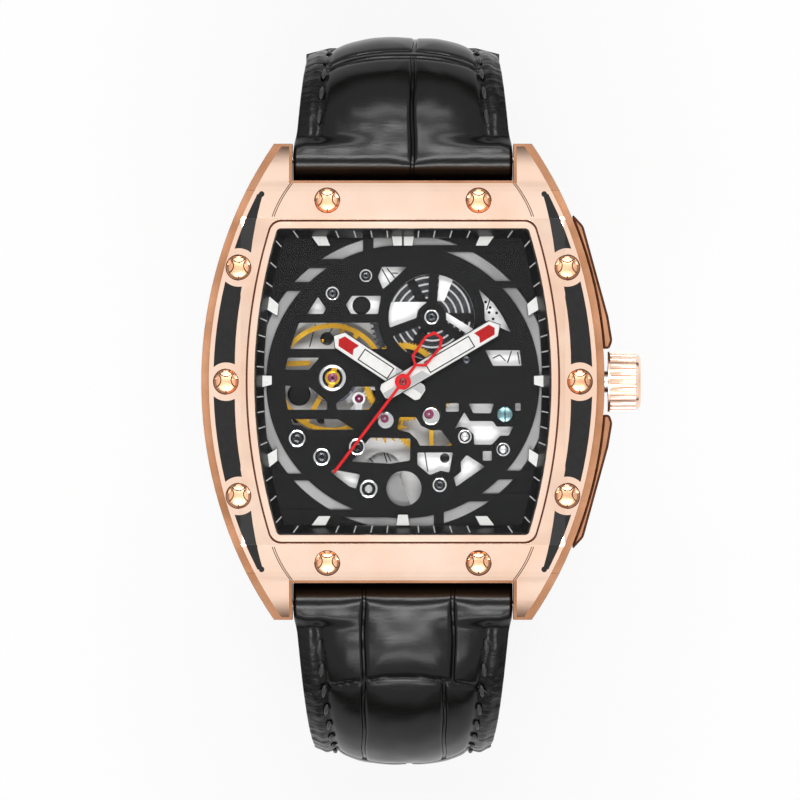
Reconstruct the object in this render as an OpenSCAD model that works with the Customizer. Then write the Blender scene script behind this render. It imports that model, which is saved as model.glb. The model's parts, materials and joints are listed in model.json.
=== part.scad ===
// Skeleton wristwatch in a tonneau case, on a two-piece leather strap.
// The hands turn about Z, twelve o'clock is +Y and the crown is on +X.
// The origin is the middle of the flat outer face of the case back.

/* [Case] */
// Half the width of the case across its middle
case_half_w = 20.2; // [19.6:0.1:21]
// Radius of the long curved flanks
flank_r = 43; // [38:1:50]
// Distance from the centre to the lug tips
lug_reach = 23.9; // [23.6:0.1:25]
// Width of the slot between the lugs
lug_gap = 22.2; // [21.8:0.1:22.6]
// Distance from the centre to the inner wall of the strap slot
slot_y = 20.17; // [19.9:0.01:20.3]
// How far the crown's guards stand out from the flank
guard_out = 0.8; // [0.5:0.1:1]
// Height of the case's upper face, where the bezel sits
case_top = 7.5; // [7.4:0.1:7.9]
// Radius of the round pocket for the movement
pocket_r = 15.2; // [15.1:0.05:15.5]

/* [Bezel and crystal] */
// Height of the bezel's highest face
bezel_top = 10.8; // [10.7:0.1:11.4]
// Height of the bezel's rim, at its outer edge
bezel_edge = 8.6; // [8.3:0.1:9.2]
// Step from the case's flank in to the bezel's
bezel_inset = 0.8; // [0.5:0.1:1.2]
// Half the opening's width across its middle
open_half_w = 14.8; // [14.4:0.1:14.9]
// Half the opening's height
open_half_h = 15.27; // [15:0.01:15.4]
// Radius of the opening's curved sides
open_side_r = 52; // [45:1:60]
// Thickness of the crystal
crystal_t = 0.9; // [0.8:0.05:1]
// Thickness of the bezel's lip over the crystal
lip_t = 0.55; // [0.4:0.05:0.6]
// Height of the bezel at the lug tips
bezel_tip_z = 6.2; // [5.8:0.1:6.6]
// Radius of a bezel screw's head
screw_head_r = 1.225; // [1.05:0.025:1.3]

/* [Crown] */
// Radius over the crown's flutes
crown_r = 3.02; // [2.7:0.01:3.1]
// Length of the crown's fluted body
crown_len = 2.8; // [2.5:0.1:3.4]
// Number of flutes round the crown
crown_flutes = 24; // [18:1:30]
// Height of the winding stem's axis
stem_z = 4.8; // [4.7:0.1:5]
// How far the crown pulls out
crown_pull = 1.2; // [0.8:0.1:1.5]

/* [Dial and hands] */
// Radius of the open-worked dial plate
dial_r = 13.7; // [13.4:0.05:13.8]
// Height of the dial plate's upper face
dial_top = 7.2; // [7.15:0.05:7.3]
// Thickness of the dial plate
dial_t = 0.4; // [0.3:0.05:0.45]
// Length of the hour hand from its axis
hour_len = 8.3; // [7.5:0.1:9]
// Length of the minute hand from its axis
minute_len = 11.25; // [10:0.05:12]
// Length of the second hand from its axis
second_len = 11.4; // [10:0.1:12]
// Thickness of a hand
hand_t = 0.2; // [0.15:0.05:0.25]

/* [Movement] */
// Thickness of the main plate
plate_t = 0.6; // [0.5:0.05:0.65]
// Thickness of the train bridge at the back
bridge_t = 0.6; // [0.5:0.05:0.7]
// Radius of the balance wheel's rim
balance_r = 5.5; // [5.2:0.05:5.55]
// Outer radius of the winding rotor
rotor_r = 13; // [12:0.1:13.2]
// Running clearance round a pivot
pivot_gap = 0.03; // [0.02:0.01:0.04]
// Turns of the mainspring
mainspring_turns = 6; // [4:1:6]
// Turns of the hairspring
hairspring_turns = 4; // [3:1:4]

/* [Strap] */
// Clearance between the strap and each lug
strap_play = 0.2; // [0.15:0.05:0.4]
// How much narrower the strap is at the buckle
strap_taper = 3.8; // [2:0.1:5]
// Thickness of the lining
lining_t = 1; // [0.8:0.1:1.2]
// Height of the padded middle above the lining
pad_t = 2.6; // [2.2:0.1:3]
// Thickness of the leather at its edges
edge_t = 1.2; // [1:0.05:1.3]
// How far below the case back the strap stands
stand_z = 52; // [48:1:56]
// Pitch of the stitches
stitch_pitch = 2.4; // [2:0.1:3.2]

/* [Hidden] */
$fn = 96;
eps = 0.01;

rose = "#e2a986";
grey = "#3a3a3a";
black = "#1c1c1c";
steel = "#c4c6c9";
gold = "#e8b020";
ruby = "#a03058";
leather = "#0d0d0d";

// Heights, from the back up.
back_t = 1.3;
rotor_z = 1.38;
rotor_t = 0.35;
bridge_top = 2.9;
plate_z = 5.2;
plate_top = plate_z + plate_t;
dial_z = dial_top - dial_t;
hour_z = 7.7;
minute_z = 8.2;
second_z = 8.7;
crystal_z = bezel_top - lip_t - crystal_t;
base_z = 6.3;
base_t = dial_z - base_z;

// Axes of the movement, in plan.
centre = [0, 0];
barrel_at = [2.87, 6.47];
third_at = [2.86, -3.44];
escape_at = [-1.73, -3.85];
pallet_at = [-4.43, -1.69];
balance_at = [-7.17, 0.38];
motion_d = 3;
minute_wheel_angle = -15;
minute_wheel_at = motion_d * [cos(minute_wheel_angle), sin(minute_wheel_angle)];

// Teeth of each wheel and pinion.
barrel_teeth = 72;
centre_pinion = 12;
centre_teeth = 80;
third_pinion = 10;
third_teeth = 75;
fourth_pinion = 10;
fourth_teeth = 70;
escape_pinion = 7;
escape_teeth = 15;
cannon_teeth = 12;
minute_teeth = 36;
minute_pinion = 10;
hour_teeth = 40;

function bearing(a, b) = atan2(b[1] - a[1], b[0] - a[0]);
function pitch_r(a, b, own, other) = norm(b - a) * own / (own + other);

barrel_to_centre = bearing(barrel_at, centre);
centre_to_third = bearing(centre, third_at);
third_to_centre = bearing(third_at, centre);
centre_to_escape = bearing(centre, escape_at);

// Lugs, spring bars and the widths of the strap between them.
strap_w = lug_gap - 2 * strap_play;
strap_end_w = strap_w - strap_taper;
bar_y = 22.4;
bar_z = 3;
bar_r = 0.75;
bar_tip_r = 0.4;
bar_tip_len = 1.1;
lug_low = -0.4;

// Where a curved side stands at a height y.
function side_x(half_w, side_r, y) = half_w - side_r + sqrt(side_r * side_r - y * y);
function flank_x(y) = side_x(case_half_w - bezel_inset, flank_r - bezel_inset, y);
function open_x(y) = side_x(open_half_w, open_side_r, y);
function rim_x(y, share) = open_x(y) + share * (flank_x(y) - open_x(y));

// Places of the ten bezel screws. Those on the sides stand a share of the rim out from the opening.
end_screw_x = 7.56;
end_screw_in = 2.07;
corner_screw_y = 11.4;
bezel_screw_places = [
    for (sx = [-1, 1], sy = [-1, 1]) [sx * end_screw_x, sy * (slot_y - end_screw_in)],
    for (sx = [-1, 1], sy = [-1, 1]) [sx * rim_x(corner_screw_y, 0.667), sy * corner_screw_y],
    for (sx = [-1, 1]) [sx * rim_x(0, 0.624), 0]
];

// Places and head radii of the screws in the dial plate.
dial_screw_places = [
    [-7.1, 8.9, 0.73], [-3.7, 10.6, 0.65], [-10.6, -5.7, 0.87], [-8.1, -7.5, 0.9],
    [-4.6, -6.55, 0.85], [-3.4, -10.7, 0.93], [3.7, -10.3, 0.75], [6.2, -5.5, 0.7],
    [10.05, -6.8, 0.7], [10.2, -3.3, 0.87], [6.4, 2.2, 0.5]
];

// Jewels that show through the dial: place, and the radius of the hole above.
dial_jewels = [
    [balance_at, 1.29], [escape_at, 0.85], [third_at, 0.97]
];
jewel_r = 0.43;
setting_r = 0.7;
pivot_r = 0.1;

// Pillars between the main plate and the bridge.
pillar_places = [[-9.1, -8.1], [9.1, -8.1], [11, 3], [-6.5, 9.6]];
pillar_r = 0.9;

// Openings of the dial plate that go on through the main plate, one outline each.
deep_windows = [
    [[-10.4, 5.9], [-2.5, 5.9], [-1.6, 3.3], [-11.3, 3.3]],
    [[-11.5, 2.4], [-8.4, 2.4], [-9.4, 1.2], [-11.8, 1.2]],
    [[-11.8, -0.4], [-11.7, -1.9], [-11.5, -2.8], [-7.6, -2.8], [-7.6, -2], [-9.3, -0.6]],
    [[-5, -0.5], [-2.8, -0.5], [-2.75, -1.8], [-3.4, -2.8], [-6.6, -2.8], [-6.7, -2.2], [-6.2, -1.8],
     [-5.35, -1.1]],
    [[-11.2, -3.75], [-6.5, -3.75], [-4.9, -4.8], [-9.6, -4.8], [-10.1, -4.4], [-11.1, -4.3]],
    [[-3.3, -5.6], [0.75, -5.7], [0.7, -7.9], [-1.3, -8.2], [-5.15, -8]],
    [[-0.35, -3.55], [1.3, -3.55], [1.8, -4.4], [2.8, -4.85], [3.8, -4.85], [5, -6.4], [1.7, -6.4],
     [1.4, -5.8], [0.65, -5.1], [-0.55, -4.75]]
];
// Openings of the dial plate that show the main plate.
shallow_windows = [
    [[-8.5, 8.5], [-9.6, 6.8], [-8, 6.8], [-7.7, 7.3]],
    [[-2.1, 11.5], [0.4, 11.5], [-1.5, 9.7], [-2, 9.3], [-2.5, 10.5]],
    [[-5.1, 8.6], [-2.2, 8.6], [-2.5, 6.8], [-5.2, 6.8], [-5.7, 7.7]],
    [[-7, -8.8], [-4.3, -9.3], [-4.7, -10.7], [-5.35, -10.5], [-7.3, -9]],
    [[1.45, -7.1], [5, -7.1], [4.65, -9.1], [3.8, -8.9], [2.7, -9.35], [1.45, -8.3]],
    [[6.4, -7.35], [8.2, -8.5], [5.35, -10.5], [5.1, -9.6], [5.85, -9], [5.8, -8]],
    [[6.15, -3.05], [6.7, -3.95], [9, -3.95], [9.4, -4.5], [11.05, -4.5], [10.6, -5.4], [9.75, -5.4],
     [8.9, -6.3], [7.15, -6.3], [7.1, -5.3], [6.4, -4.6], [5.7, -4.5], [5.2, -4.7]],
    [[6.6, -2.2], [9.1, -2.2], [8.8, -3.15], [7.05, -3.15]],
    [[11.25, -2.15], [11.8, -2.15], [11.8, -2.9], [11.25, -2.9]],
    [[4.3, -2.15], [5.6, -2.15], [5.6, -3], [4.3, -3]],
    [[8, -6.95], [8.9, -6.95], [8.9, -7.9], [8, -7.9]],
    [[8.25, 3.15], [11.7, 3.15], [11.9, 1.6], [9.05, 1.6]],
    [[7.6, 9.25], [8.15, 7.75], [8.2, 6.15], [10.8, 4.95], [9.95, 6.6], [9.05, 7.9]]
];
barrel_window_r = 4.3;
low_window = [0.1, -10.7];
low_window_r = 1.76;

// Horizontal bars from the dial plate to the frame: side, lowest and highest y.
dial_bars = [
    [-1, 11.4, 12.3], [-1, 9.1, 10], [-1, -9.9, -9.2], [-1, -13.6, -12.8],
    [1, 13, 13.7], [1, 9.4, 10.1], [1, -9.8, -8.9], [1, -12, -11.2]
];

// Shared shapes.
module raise(low, high) {
    translate([0, 0, low]) linear_extrude(high - low) children();
}

module at(place) {
    translate([place[0], place[1], 0]) children();
}

module rod(place, r, low, high) {
    translate([place[0], place[1], low]) cylinder(r = r, h = high - low);
}

module tonneau(half_w, side_r, half_h) {
    intersection() {
        translate([half_w - side_r, 0]) circle(side_r, $fn = 360);
        translate([side_r - half_w, 0]) circle(side_r, $fn = 360);
        square([2 * half_w, 2 * half_h], center = true);
    }
}

module opening(gap = 0) {
    tonneau(open_half_w + gap, open_side_r, open_half_h + gap);
}

module case_plan() {
    difference() {
        tonneau(case_half_w, flank_r, lug_reach);
        for (s = [-1, 1])
            translate([-lug_gap / 2, s > 0 ? slot_y : -slot_y - 10]) square([lug_gap, 10]);
    }
}

// Outline of a toothed disc with straight-sided teeth.
function teeth_outline(teeth, r, tip = 0.8, root = 1.1) = [
    for (i = [0 : teeth - 1], k = [0 : 3])
        let (
            m = 2 * r / teeth,
            turn = 360 / teeth * (i + [-0.24, -0.09, 0.09, 0.24][k]),
            reach = k == 0 || k == 3 ? r - root * m : r + tip * m
        )
        reach * [cos(turn), sin(turn)]
];

module toothed(teeth, r, phase) {
    rotate(phase) polygon(teeth_outline(teeth, r));
}

// Round openings between a hub and a rim, with straight spokes.
module spoke_windows(hub, rim, spokes, width) {
    difference() {
        circle(rim);
        circle(hub);
        for (i = [0 : spokes - 1])
            rotate(i * 360 / spokes) translate([0, -width / 2]) square([rim + 1, width]);
    }
}

module spoked_wheel(teeth, r, phase, low, high, spokes) {
    raise(low, high) difference() {
        toothed(teeth, r, phase);
        spoke_windows(r * 0.24, r * 0.84, spokes, r * 0.11);
    }
}

// Outline of a flat spiral strip.
function spiral(turns, r0, pitch, t, steps) = let (n = turns * steps) concat(
    [for (i = [0 : n]) (r0 + pitch * i / steps + t / 2) * [cos(i * 360 / steps), sin(i * 360 / steps)]],
    [for (i = [n : -1 : 0]) (r0 + pitch * i / steps - t / 2) * [cos(i * 360 / steps), sin(i * 360 / steps)]]
);

// Least distance from any point of a spiral's middle line to the next turn, less its thickness.
function spiral_gap(turns, r0, pitch, t, steps) = min([
    for (i = [0 : (turns - 1) * steps], j = [i + steps - 2 : i + steps + 2])
        if (j <= turns * steps)
            norm((r0 + pitch * i / steps) * [cos(i * 360 / steps), sin(i * 360 / steps)]
                - (r0 + pitch * j / steps) * [cos(j * 360 / steps), sin(j * 360 / steps)]) - t
]);

mainspring_r0 = 1.15;
mainspring_pitch = 0.68;
mainspring_t = 0.18;
hairspring_r0 = 0.55;
hairspring_pitch = 0.5;
hairspring_t = 0.06;
spiral_steps = 36;
echo(mainspring_least_gap = spiral_gap(mainspring_turns, mainspring_r0, mainspring_pitch, mainspring_t,
    spiral_steps));
echo(hairspring_least_gap = spiral_gap(hairspring_turns, hairspring_r0, hairspring_pitch, hairspring_t,
    spiral_steps));

// Case.
lug_top = 5.6;
back_half_len = 17.5;
case_top_points = [
    [lug_reach + 1, lug_top - 1], [slot_y - 1, case_top], [1 - slot_y, case_top], [-lug_reach - 1, lug_top - 1]
];
case_side_points = concat([
    [-lug_reach - 1, lug_low], [-slot_y, lug_low + 0.4], [-back_half_len, back_t], [back_half_len, back_t],
    [slot_y, lug_low + 0.4], [lug_reach + 1, lug_low]
], case_top_points);

module side_profile(points) {
    rotate([90, 0, 90]) translate([0, 0, -30]) linear_extrude(60) polygon(points);
}

module case_middle() color(rose) {
    difference() {
        intersection() {
            raise(-3, case_top) case_plan();
            side_profile(case_side_points);
        }
        rod(centre, pocket_r, 0, case_top + 1);
        raise(base_z - 0.01, case_top + 1) opening(0.3);
        for (s = [-1, 1])
            translate([-(lug_gap / 2 + bar_tip_len), s * bar_y, bar_z]) rotate([0, 90, 0])
                cylinder(r = bar_tip_r + pivot_gap, h = lug_gap + 2 * bar_tip_len);
        translate([pocket_r - 1, 0, stem_z]) rotate([0, 90, 0]) cylinder(r = tube_r, h = case_half_w);
        for (p = case_back_screw_places)
            rod(p, case_back_screw_r, back_t - 1, back_t + 2.4);
    }
}

// The bezel's upper faces fall away from the opening to the flanks and to the lug tips.
bezel_flat_y = 16.3;
bezel_flat_x = 16.2;
fall_y = (bezel_top - bezel_tip_z) / (lug_reach - bezel_flat_y);
fall_x = (bezel_top - bezel_edge) / (case_half_w - bezel_flat_x);
function bezel_height(p) = bezel_top
    - max(fall_y * (abs(p[1]) - bezel_flat_y), fall_x * (abs(p[0]) - bezel_flat_x), 0);

module bezel_roof(extra = 0) {
    low = lug_low - 1;
    end_y = lug_reach + 1;
    end_z = bezel_top - fall_y * (end_y - bezel_flat_y) + extra;
    intersection() {
        side_profile([
            [-end_y, low], [end_y, low], [end_y, end_z], [bezel_flat_y, bezel_top + extra],
            [-bezel_flat_y, bezel_top + extra], [-end_y, end_z]
        ]);
        rotate([90, 0, 0]) translate([0, 0, -30]) linear_extrude(60) polygon([
            [-case_half_w, low], [case_half_w, low],
            [case_half_w, bezel_edge + extra], [bezel_flat_x, bezel_top + extra],
            [-bezel_flat_x, bezel_top + extra], [-case_half_w, bezel_edge + extra]
        ]);
    }
}

// The bezel's arms run out over the lugs, on both sides of the strap slots.
bezel_end_gap = 0.3;
module bezel_plan() {
    gap_w = lug_gap + 2 * bezel_end_gap;
    difference() {
        tonneau(case_half_w - bezel_inset, flank_r - bezel_inset, lug_reach - bezel_end_gap);
        for (s = [0, 1])
            mirror([0, s]) translate([-gap_w / 2, slot_y - bezel_end_gap]) square([gap_w, lug_reach]);
    }
}

// Dark inserts let into the bezel's flanks, for one quarter, shown at the upper right.
insert_floor = bezel_edge - 0.5;
insert_edge = 0.45;
insert_w = 2.15;
insert_screw_gap = 0.7;
wedge_w = 1.6;
wedge_tip_y = 19.05;
wedge_tip_r = 0.28;
// A strip that follows the flank from y0 to y1, with its width at both ends.
module flank_strip(y0, y1, w0, w1, steps = 8) {
    ys = [for (i = [0 : steps]) y0 + (y1 - y0) * i / steps];
    polygon(concat(
        [for (i = [0 : steps]) [flank_x(ys[i]) - insert_edge, ys[i]]],
        [for (i = [steps : -1 : 0]) [flank_x(ys[i]) - insert_edge - w0 - (w1 - w0) * i / steps, ys[i]]]
    ));
}

module insert_quarter() {
    difference() {
        union() {
            flank_strip(0, corner_screw_y, insert_w, insert_w * 0.8);
            flank_strip(corner_screw_y, wedge_tip_y - wedge_tip_r, wedge_w * 1.3, wedge_tip_r * 2);
            translate([flank_x(wedge_tip_y) - insert_edge - wedge_tip_r, wedge_tip_y - wedge_tip_r])
                circle(wedge_tip_r);
        }
        for (p = bezel_screw_places)
            translate(p) circle(screw_head_r + insert_screw_gap);
    }
}

module insert_plan() {
    for (sx = [0, 1], sy = [0, 1])
        mirror([sx, 0]) mirror([0, sy]) insert_quarter();
}

module bezel() color(rose) {
    difference() {
        intersection() {
            raise(lug_low, bezel_top + 1) bezel_plan();
            bezel_roof();
        }
        side_profile(concat([[-lug_reach - 1, lug_low - 2], [lug_reach + 1, lug_low - 2]], case_top_points));
        raise(case_top - 1, bezel_top + 1) opening();
        raise(case_top - 1, crystal_z + crystal_t) opening(crystal_seat);
        raise(insert_floor, bezel_top + 1) insert_plan();
        for (p = bezel_screw_places) {
            rod(p, screw_head_r + 0.05, bezel_height(p) - 0.7, bezel_top + 1);
            rod(p, 0.62, case_top - 1, bezel_top);
        }
    }
}

module side_inserts() color(grey) {
    intersection() {
        raise(insert_floor, bezel_top + 1) insert_plan();
        bezel_roof(0.12);
    }
}

// A domed screw whose rim has three scalloped notches.
module bezel_screw() {
    difference() {
        union() {
            rotate_extrude() polygon([
                [0, -0.7], [screw_head_r, -0.7], [screw_head_r, 0.1], [screw_head_r - 0.25, 0.33],
                [0.5, 0.42], [0, 0.43]
            ]);
            translate([0, 0, -1.5]) cylinder(r = 0.6, h = 0.81);
        }
        for (a = [0, 60, 120])
            rotate(30 + a) translate([screw_head_r, 0, -0.2]) cylinder(r = 0.36, h = 1);
    }
}

module bezel_screws() color(rose) {
    for (p = bezel_screw_places)
        translate([p[0], p[1], bezel_height(p)]) bezel_screw();
}

// Shoulders that flank the crown.
guard_low = 2.2;
guard_high = case_top - 0.3;
guard_end_y = 16.8;
guard_crown_gap = 0.28;
module crown_guards() color(rose) {
    guard_x = case_half_w + guard_out;
    near_y = crown_r + guard_crown_gap;
    raise(guard_low, guard_high) difference() {
        for (s = [0, 1])
            mirror([0, s])
                polygon([
                    [guard_x - 4, guard_end_y], [guard_x - 2.9, guard_end_y - 1.2],
                    [guard_x - 0.4, near_y + 3.2], [guard_x, near_y + 0.8],
                    [guard_x - 0.3, near_y], [guard_x - 2, near_y]
                ]);
        tonneau(case_half_w, flank_r, lug_reach);
    }
}

tube_r = 1.1;
tube_bore_r = 0.62;
tube_out = 1.1;
module crown_tube() color(steel) {
    translate([pocket_r, 0, stem_z]) rotate([0, 90, 0]) difference() {
        cylinder(r = tube_r - 0.01, h = case_half_w + tube_out - pocket_r);
        translate([0, 0, -1]) cylinder(r = tube_bore_r, h = case_half_w);
    }
}

// Case back.
case_back_r = 17;
glass_r = 12.6;
case_back_screw_r = 0.5;
case_back_screw_places = [for (i = [0 : 7]) 16.2 * [cos(22.5 + 45 * i), sin(22.5 + 45 * i)]];

module case_back() color(rose) {
    difference() {
        rod(centre, case_back_r, 0, back_t);
        rod(centre, glass_r - 0.8, -1, back_t + 1);
        rod(centre, glass_r, 0.25, back_t + 1);
        translate([0, 0, back_t - 0.4]) difference() {
            cylinder(r = gasket_out_r, h = 1);
            translate([0, 0, -1]) cylinder(r = gasket_in_r, h = 3);
        }
        for (p = case_back_screw_places) {
            rod(p, case_back_screw_r + 0.05, -1, back_t + 1);
            rod(p, 0.78, -1, 0.5);
        }
    }
}

module case_back_glass() color("#c8d8e0", 0.4) {
    rod(centre, glass_r - 0.82, 0, 0.25 + eps);
    rod(centre, glass_r - 0.02, 0.25, 1.15);
}

gasket_in_r = 15.25;
gasket_out_r = 15.65;
module case_back_gasket() color(black) {
    difference() {
        rod(centre, gasket_out_r, back_t - 0.4, back_t);
        rod(centre, gasket_in_r, back_t - 1, back_t + 1);
    }
}

module case_back_screws() color(steel) {
    for (p = case_back_screw_places) difference() {
        union() {
            rod(p, 0.74, 0.08, 0.5);
            rod(p, case_back_screw_r - 0.02, 0.5, 3.2);
        }
        translate([p[0] - 1, p[1] - 0.1, 0]) cube([2, 0.2, 0.25]);
    }
}

// The crystal sits under the bezel's lip, with its gasket round it.
crystal_seat = 0.6;
crystal_gasket_w = 0.14;
module crystal() color("#dbe6ee", 0.3) {
    raise(crystal_z, crystal_z + crystal_t) opening(crystal_seat - crystal_gasket_w);
}

module crystal_gasket() color("#f0f0f0") {
    raise(crystal_z, crystal_z + crystal_t) difference() {
        opening(crystal_seat - 0.01);
        opening(crystal_seat - crystal_gasket_w + 0.01);
    }
}

// Spring bar: a tube with a sprung tip in each lug.
module spring_bar() {
    rotate([0, 90, 0]) {
        cylinder(r = bar_r, h = lug_gap - 0.6, center = true);
        cylinder(r = bar_tip_r, h = lug_gap + 2 * bar_tip_len - 0.4, center = true);
    }
}

module spring_bar_12() color(steel) {
    translate([0, bar_y, bar_z]) spring_bar();
}

module spring_bar_6() color(steel) {
    translate([0, -bar_y, bar_z]) spring_bar();
}

// Dial, from the recessed base up.
ring_out_r = 14.8;
module dial_base() color(black) {
    raise(base_z, base_z + base_t) difference() {
        opening(0.25);
        circle(ring_out_r);
    }
}

module dial_ring() color("#9a9a9a") {
    raise(base_z, dial_z) difference() {
        circle(ring_out_r - 0.02);
        circle(dial_r - 0.5);
    }
}

// The window over the barrel has a hub on three arms.
barrel_arm_angles = [87, 200, 325];
module window_plan(outlines, hub_r, arm_w) {
    difference() {
        for (w = outlines) polygon(w);
        at(balance_at) circle(1.9);
    }
    difference() {
        at(barrel_at) circle(barrel_window_r);
        circle(1.6);
        at(barrel_at) circle(hub_r);
        for (a = barrel_arm_angles)
            at(barrel_at) rotate(a) translate([0, -arm_w / 2]) square([barrel_window_r + 1, arm_w]);
    }
    translate(low_window) circle(low_window_r);
}

module dial_plate() color("#2a2a2a") {
    difference() {
        union() {
            raise(dial_z, dial_top) {
                intersection() {
                    union() {
                        circle(dial_r);
                        for (b = dial_bars)
                            translate([b[0] < 0 ? -15 : 0, b[1]]) square([15, b[2] - b[1]]);
                        translate([-4, 12]) square([1.05, 3.4]);
                        translate([3.1, -15.4]) square([1, 3.4]);
                    }
                    opening(-flange_w);
                }
            }
            for (p = dial_screw_places) rod(p, p[2] * 0.9, plate_top, dial_z + eps);
        }
        raise(plate_top, dial_top + 1) window_plan(concat(deep_windows, shallow_windows), 1.47, 0.9);
        for (j = dial_jewels) rod(j[0], j[1], dial_z - 1, dial_top + 1);
        for (p = dial_screw_places) rod(p, p[2] * 0.45, plate_top - 1, dial_top + 1);
        rod(centre, 0.75, dial_z - 1, dial_top + 1);
    }
}

flange_w = 0.6;
flange_top = 9.2;
module minute_flange() color(black) {
    raise(base_z + base_t, flange_top) difference() {
        opening(-0.03);
        opening(-flange_w);
    }
}

// Hour blocks beside the flange, for the right half of the dial.
marker_t = 0.35;
block_12 = [[0.07, 13.6], [0.98, 13.6], [1.13, 14.65], [0.07, 14.65]];
block_1 = [[7.24, 13.6], [8.48, 13.6], [9.22, 14.63], [7.68, 14.63]];
block_2 = [[12.41, 7.77], [13.39, 8.59], [13.6, 7.19], [12.55, 6.56]];
block_3 = [[13.05, 0.6], [14.2, 0.66], [14.2, -0.6], [13.05, -0.3]];
block_5 = [[7.2, -13.43], [8.46, -13.43], [9.2, -14.4], [7.7, -14.4]];
block_6 = [[0, -13.28], [0.5, -13.28], [0.7, -14.41], [0, -14.41]];
module hour_markers() color("white") {
    raise(dial_top + 0.02, dial_top + 0.02 + marker_t) intersection() {
        opening(-flange_w - 0.02);
        for (s = [0, 1]) mirror([s, 0]) {
            for (b = [block_12, block_1, block_2, block_3, block_5, block_6]) polygon(b);
            mirror([0, 1]) polygon(block_2);
        }
    }
}

// A tick on the flange at every minute that has no hour block.
tick_w = 0.14;
tick_t = 0.08;
module minute_ticks() color("white") {
    raise(flange_top, flange_top + tick_t) intersection() {
        opening(-0.06);
        difference() {
            for (i = [0 : 59])
                if (i % 5 != 0)
                    rotate(90 - 6 * i) translate([0, -tick_w / 2]) square([open_half_w + open_half_h, tick_w]);
            opening(-flange_w + 0.05);
        }
    }
}

module dial_screws() color(steel) {
    for (p = dial_screw_places) difference() {
        union() {
            rod(p, p[2], dial_top, dial_top + 0.22);
            rod(p, p[2] * 0.45 - 0.02, plate_z + 0.2, dial_top + eps);
        }
        translate([p[0], p[1], dial_top + 0.12]) rotate(37 * p[0]) translate([-1, -0.09, 0])
            cube([2, 0.18, 1]);
    }
}

// Movement.
module movement_ring() color(steel) {
    difference() {
        rod(centre, pocket_r - 0.05, back_t + 0.05, base_z);
        rod(centre, dial_r + 0.25, back_t - 1, base_z + 1);
        translate([0, 0, stem_z]) rotate([0, 90, 0]) cylinder(r = 0.8, h = 20);
    }
    // Four lips on which the main plate rests.
    for (a = [45 : 90 : 315])
        rotate(a) translate([0, 0, plate_z - 0.4]) intersection() {
            difference() {
                cylinder(r = pocket_r - 0.1, h = 0.4);
                translate([0, 0, -1]) cylinder(r = dial_r - 0.3, h = 3);
            }
            translate([0, -2, -1]) cube([20, 4, 3]);
        }
}

// Plates over parts of the barrel.
barrel_plates = [
    [[-1.8, 8], [2.4, 8], [1.5, 7.2], [1.15, 5.6], [-0.8, 5.1], [-1.7, 5.4]],
    [[3.7, 11], [5.2, 10.7], [4.15, 8.1], [3.45, 8.1]],
    [[4.35, 6.95], [7.2, 5.2], [6.6, 4.7], [4.25, 6.25]]
];
post_r = 0.3;
module main_plate() color(steel) {
    difference() {
        union() {
            difference() {
                rod(centre, dial_r, plate_z, plate_top);
                raise(plate_z - 1, plate_top + 1) window_plan(deep_windows, 0.8, 0.5);
                for (j = dial_jewels) rod(j[0], setting_r + 0.01, plate_z - 1, plate_top + 1);
            }
            raise(plate_z + 0.1, plate_top) for (p = barrel_plates) polygon(p);
            // A small bar crosses the window over the lever, and a stud holds the hairspring.
            raise(plate_z, plate_z + 0.3) {
                at(pallet_at) circle(0.65);
                at(pallet_at) translate([-0.35, -1.6]) square([0.7, 1.6]);
            }
            rod(stud_at, 0.16, hairspring_z - 0.02, plate_z + eps);
            rod(minute_wheel_at, post_r, plate_z, plate_top + 0.72);
        }
        for (p = dial_screw_places) rod(p, p[2] * 0.45, plate_z - 1, plate_top + 1);
        for (p = pillar_places) rod(p, 0.36, plate_z - 1, plate_z + 0.35);
        rod(centre, arbor_out_r + 0.05, plate_z - 1, plate_top + 1);
        rod(barrel_at, arbor_top_r + pivot_gap, plate_z - 1, plate_top + 1);
    }
}

bridge_z = bridge_top - bridge_t;
bridge_jewels = [escape_at, third_at, centre, pallet_at];
module bridge_plan() {
    difference() {
        circle(13.2);
        at(balance_at) circle(5.9);
        at([-9.6, 1]) circle(4.2);
        at(barrel_at) difference() {
            circle(4.6);
            circle(1.5);
            for (a = [30, 150, 270]) rotate(a) translate([0, -0.5]) square([6, 1]);
        }
        translate([7, -6.3]) circle(1.9);
        translate([-2, -9]) circle(1.9);
    }
}

// Two posts behind the lever hold its upper pivot, below the spokes of the balance.
fork_z = 3.6;
fork_t = 0.2;
balance_z = 4.05;
lever_bridge_low = fork_z + fork_t + 0.07;
lever_bridge_high = balance_z - 0.07;
lever_post_at = [-0.75, 0.8];
lever_post_r = 0.22;
module lever_bridge() at(pallet_at) rotate(pallet_to_escape) {
    for (s = [-1, 1])
        rod([lever_post_at[0], s * lever_post_at[1]], lever_post_r, bridge_top - eps, lever_bridge_high);
    raise(lever_bridge_low, lever_bridge_high) {
        circle(0.42);
        polygon([[0.3, -0.3], [0.3, 0.3], [lever_post_at[0] + lever_post_r, lever_post_at[1] + lever_post_r],
            [lever_post_at[0] - lever_post_r, lever_post_at[1] + lever_post_r],
            [lever_post_at[0] - lever_post_r, -lever_post_at[1] - lever_post_r],
            [lever_post_at[0] + lever_post_r, -lever_post_at[1] - lever_post_r]]);
    }
}

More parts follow.
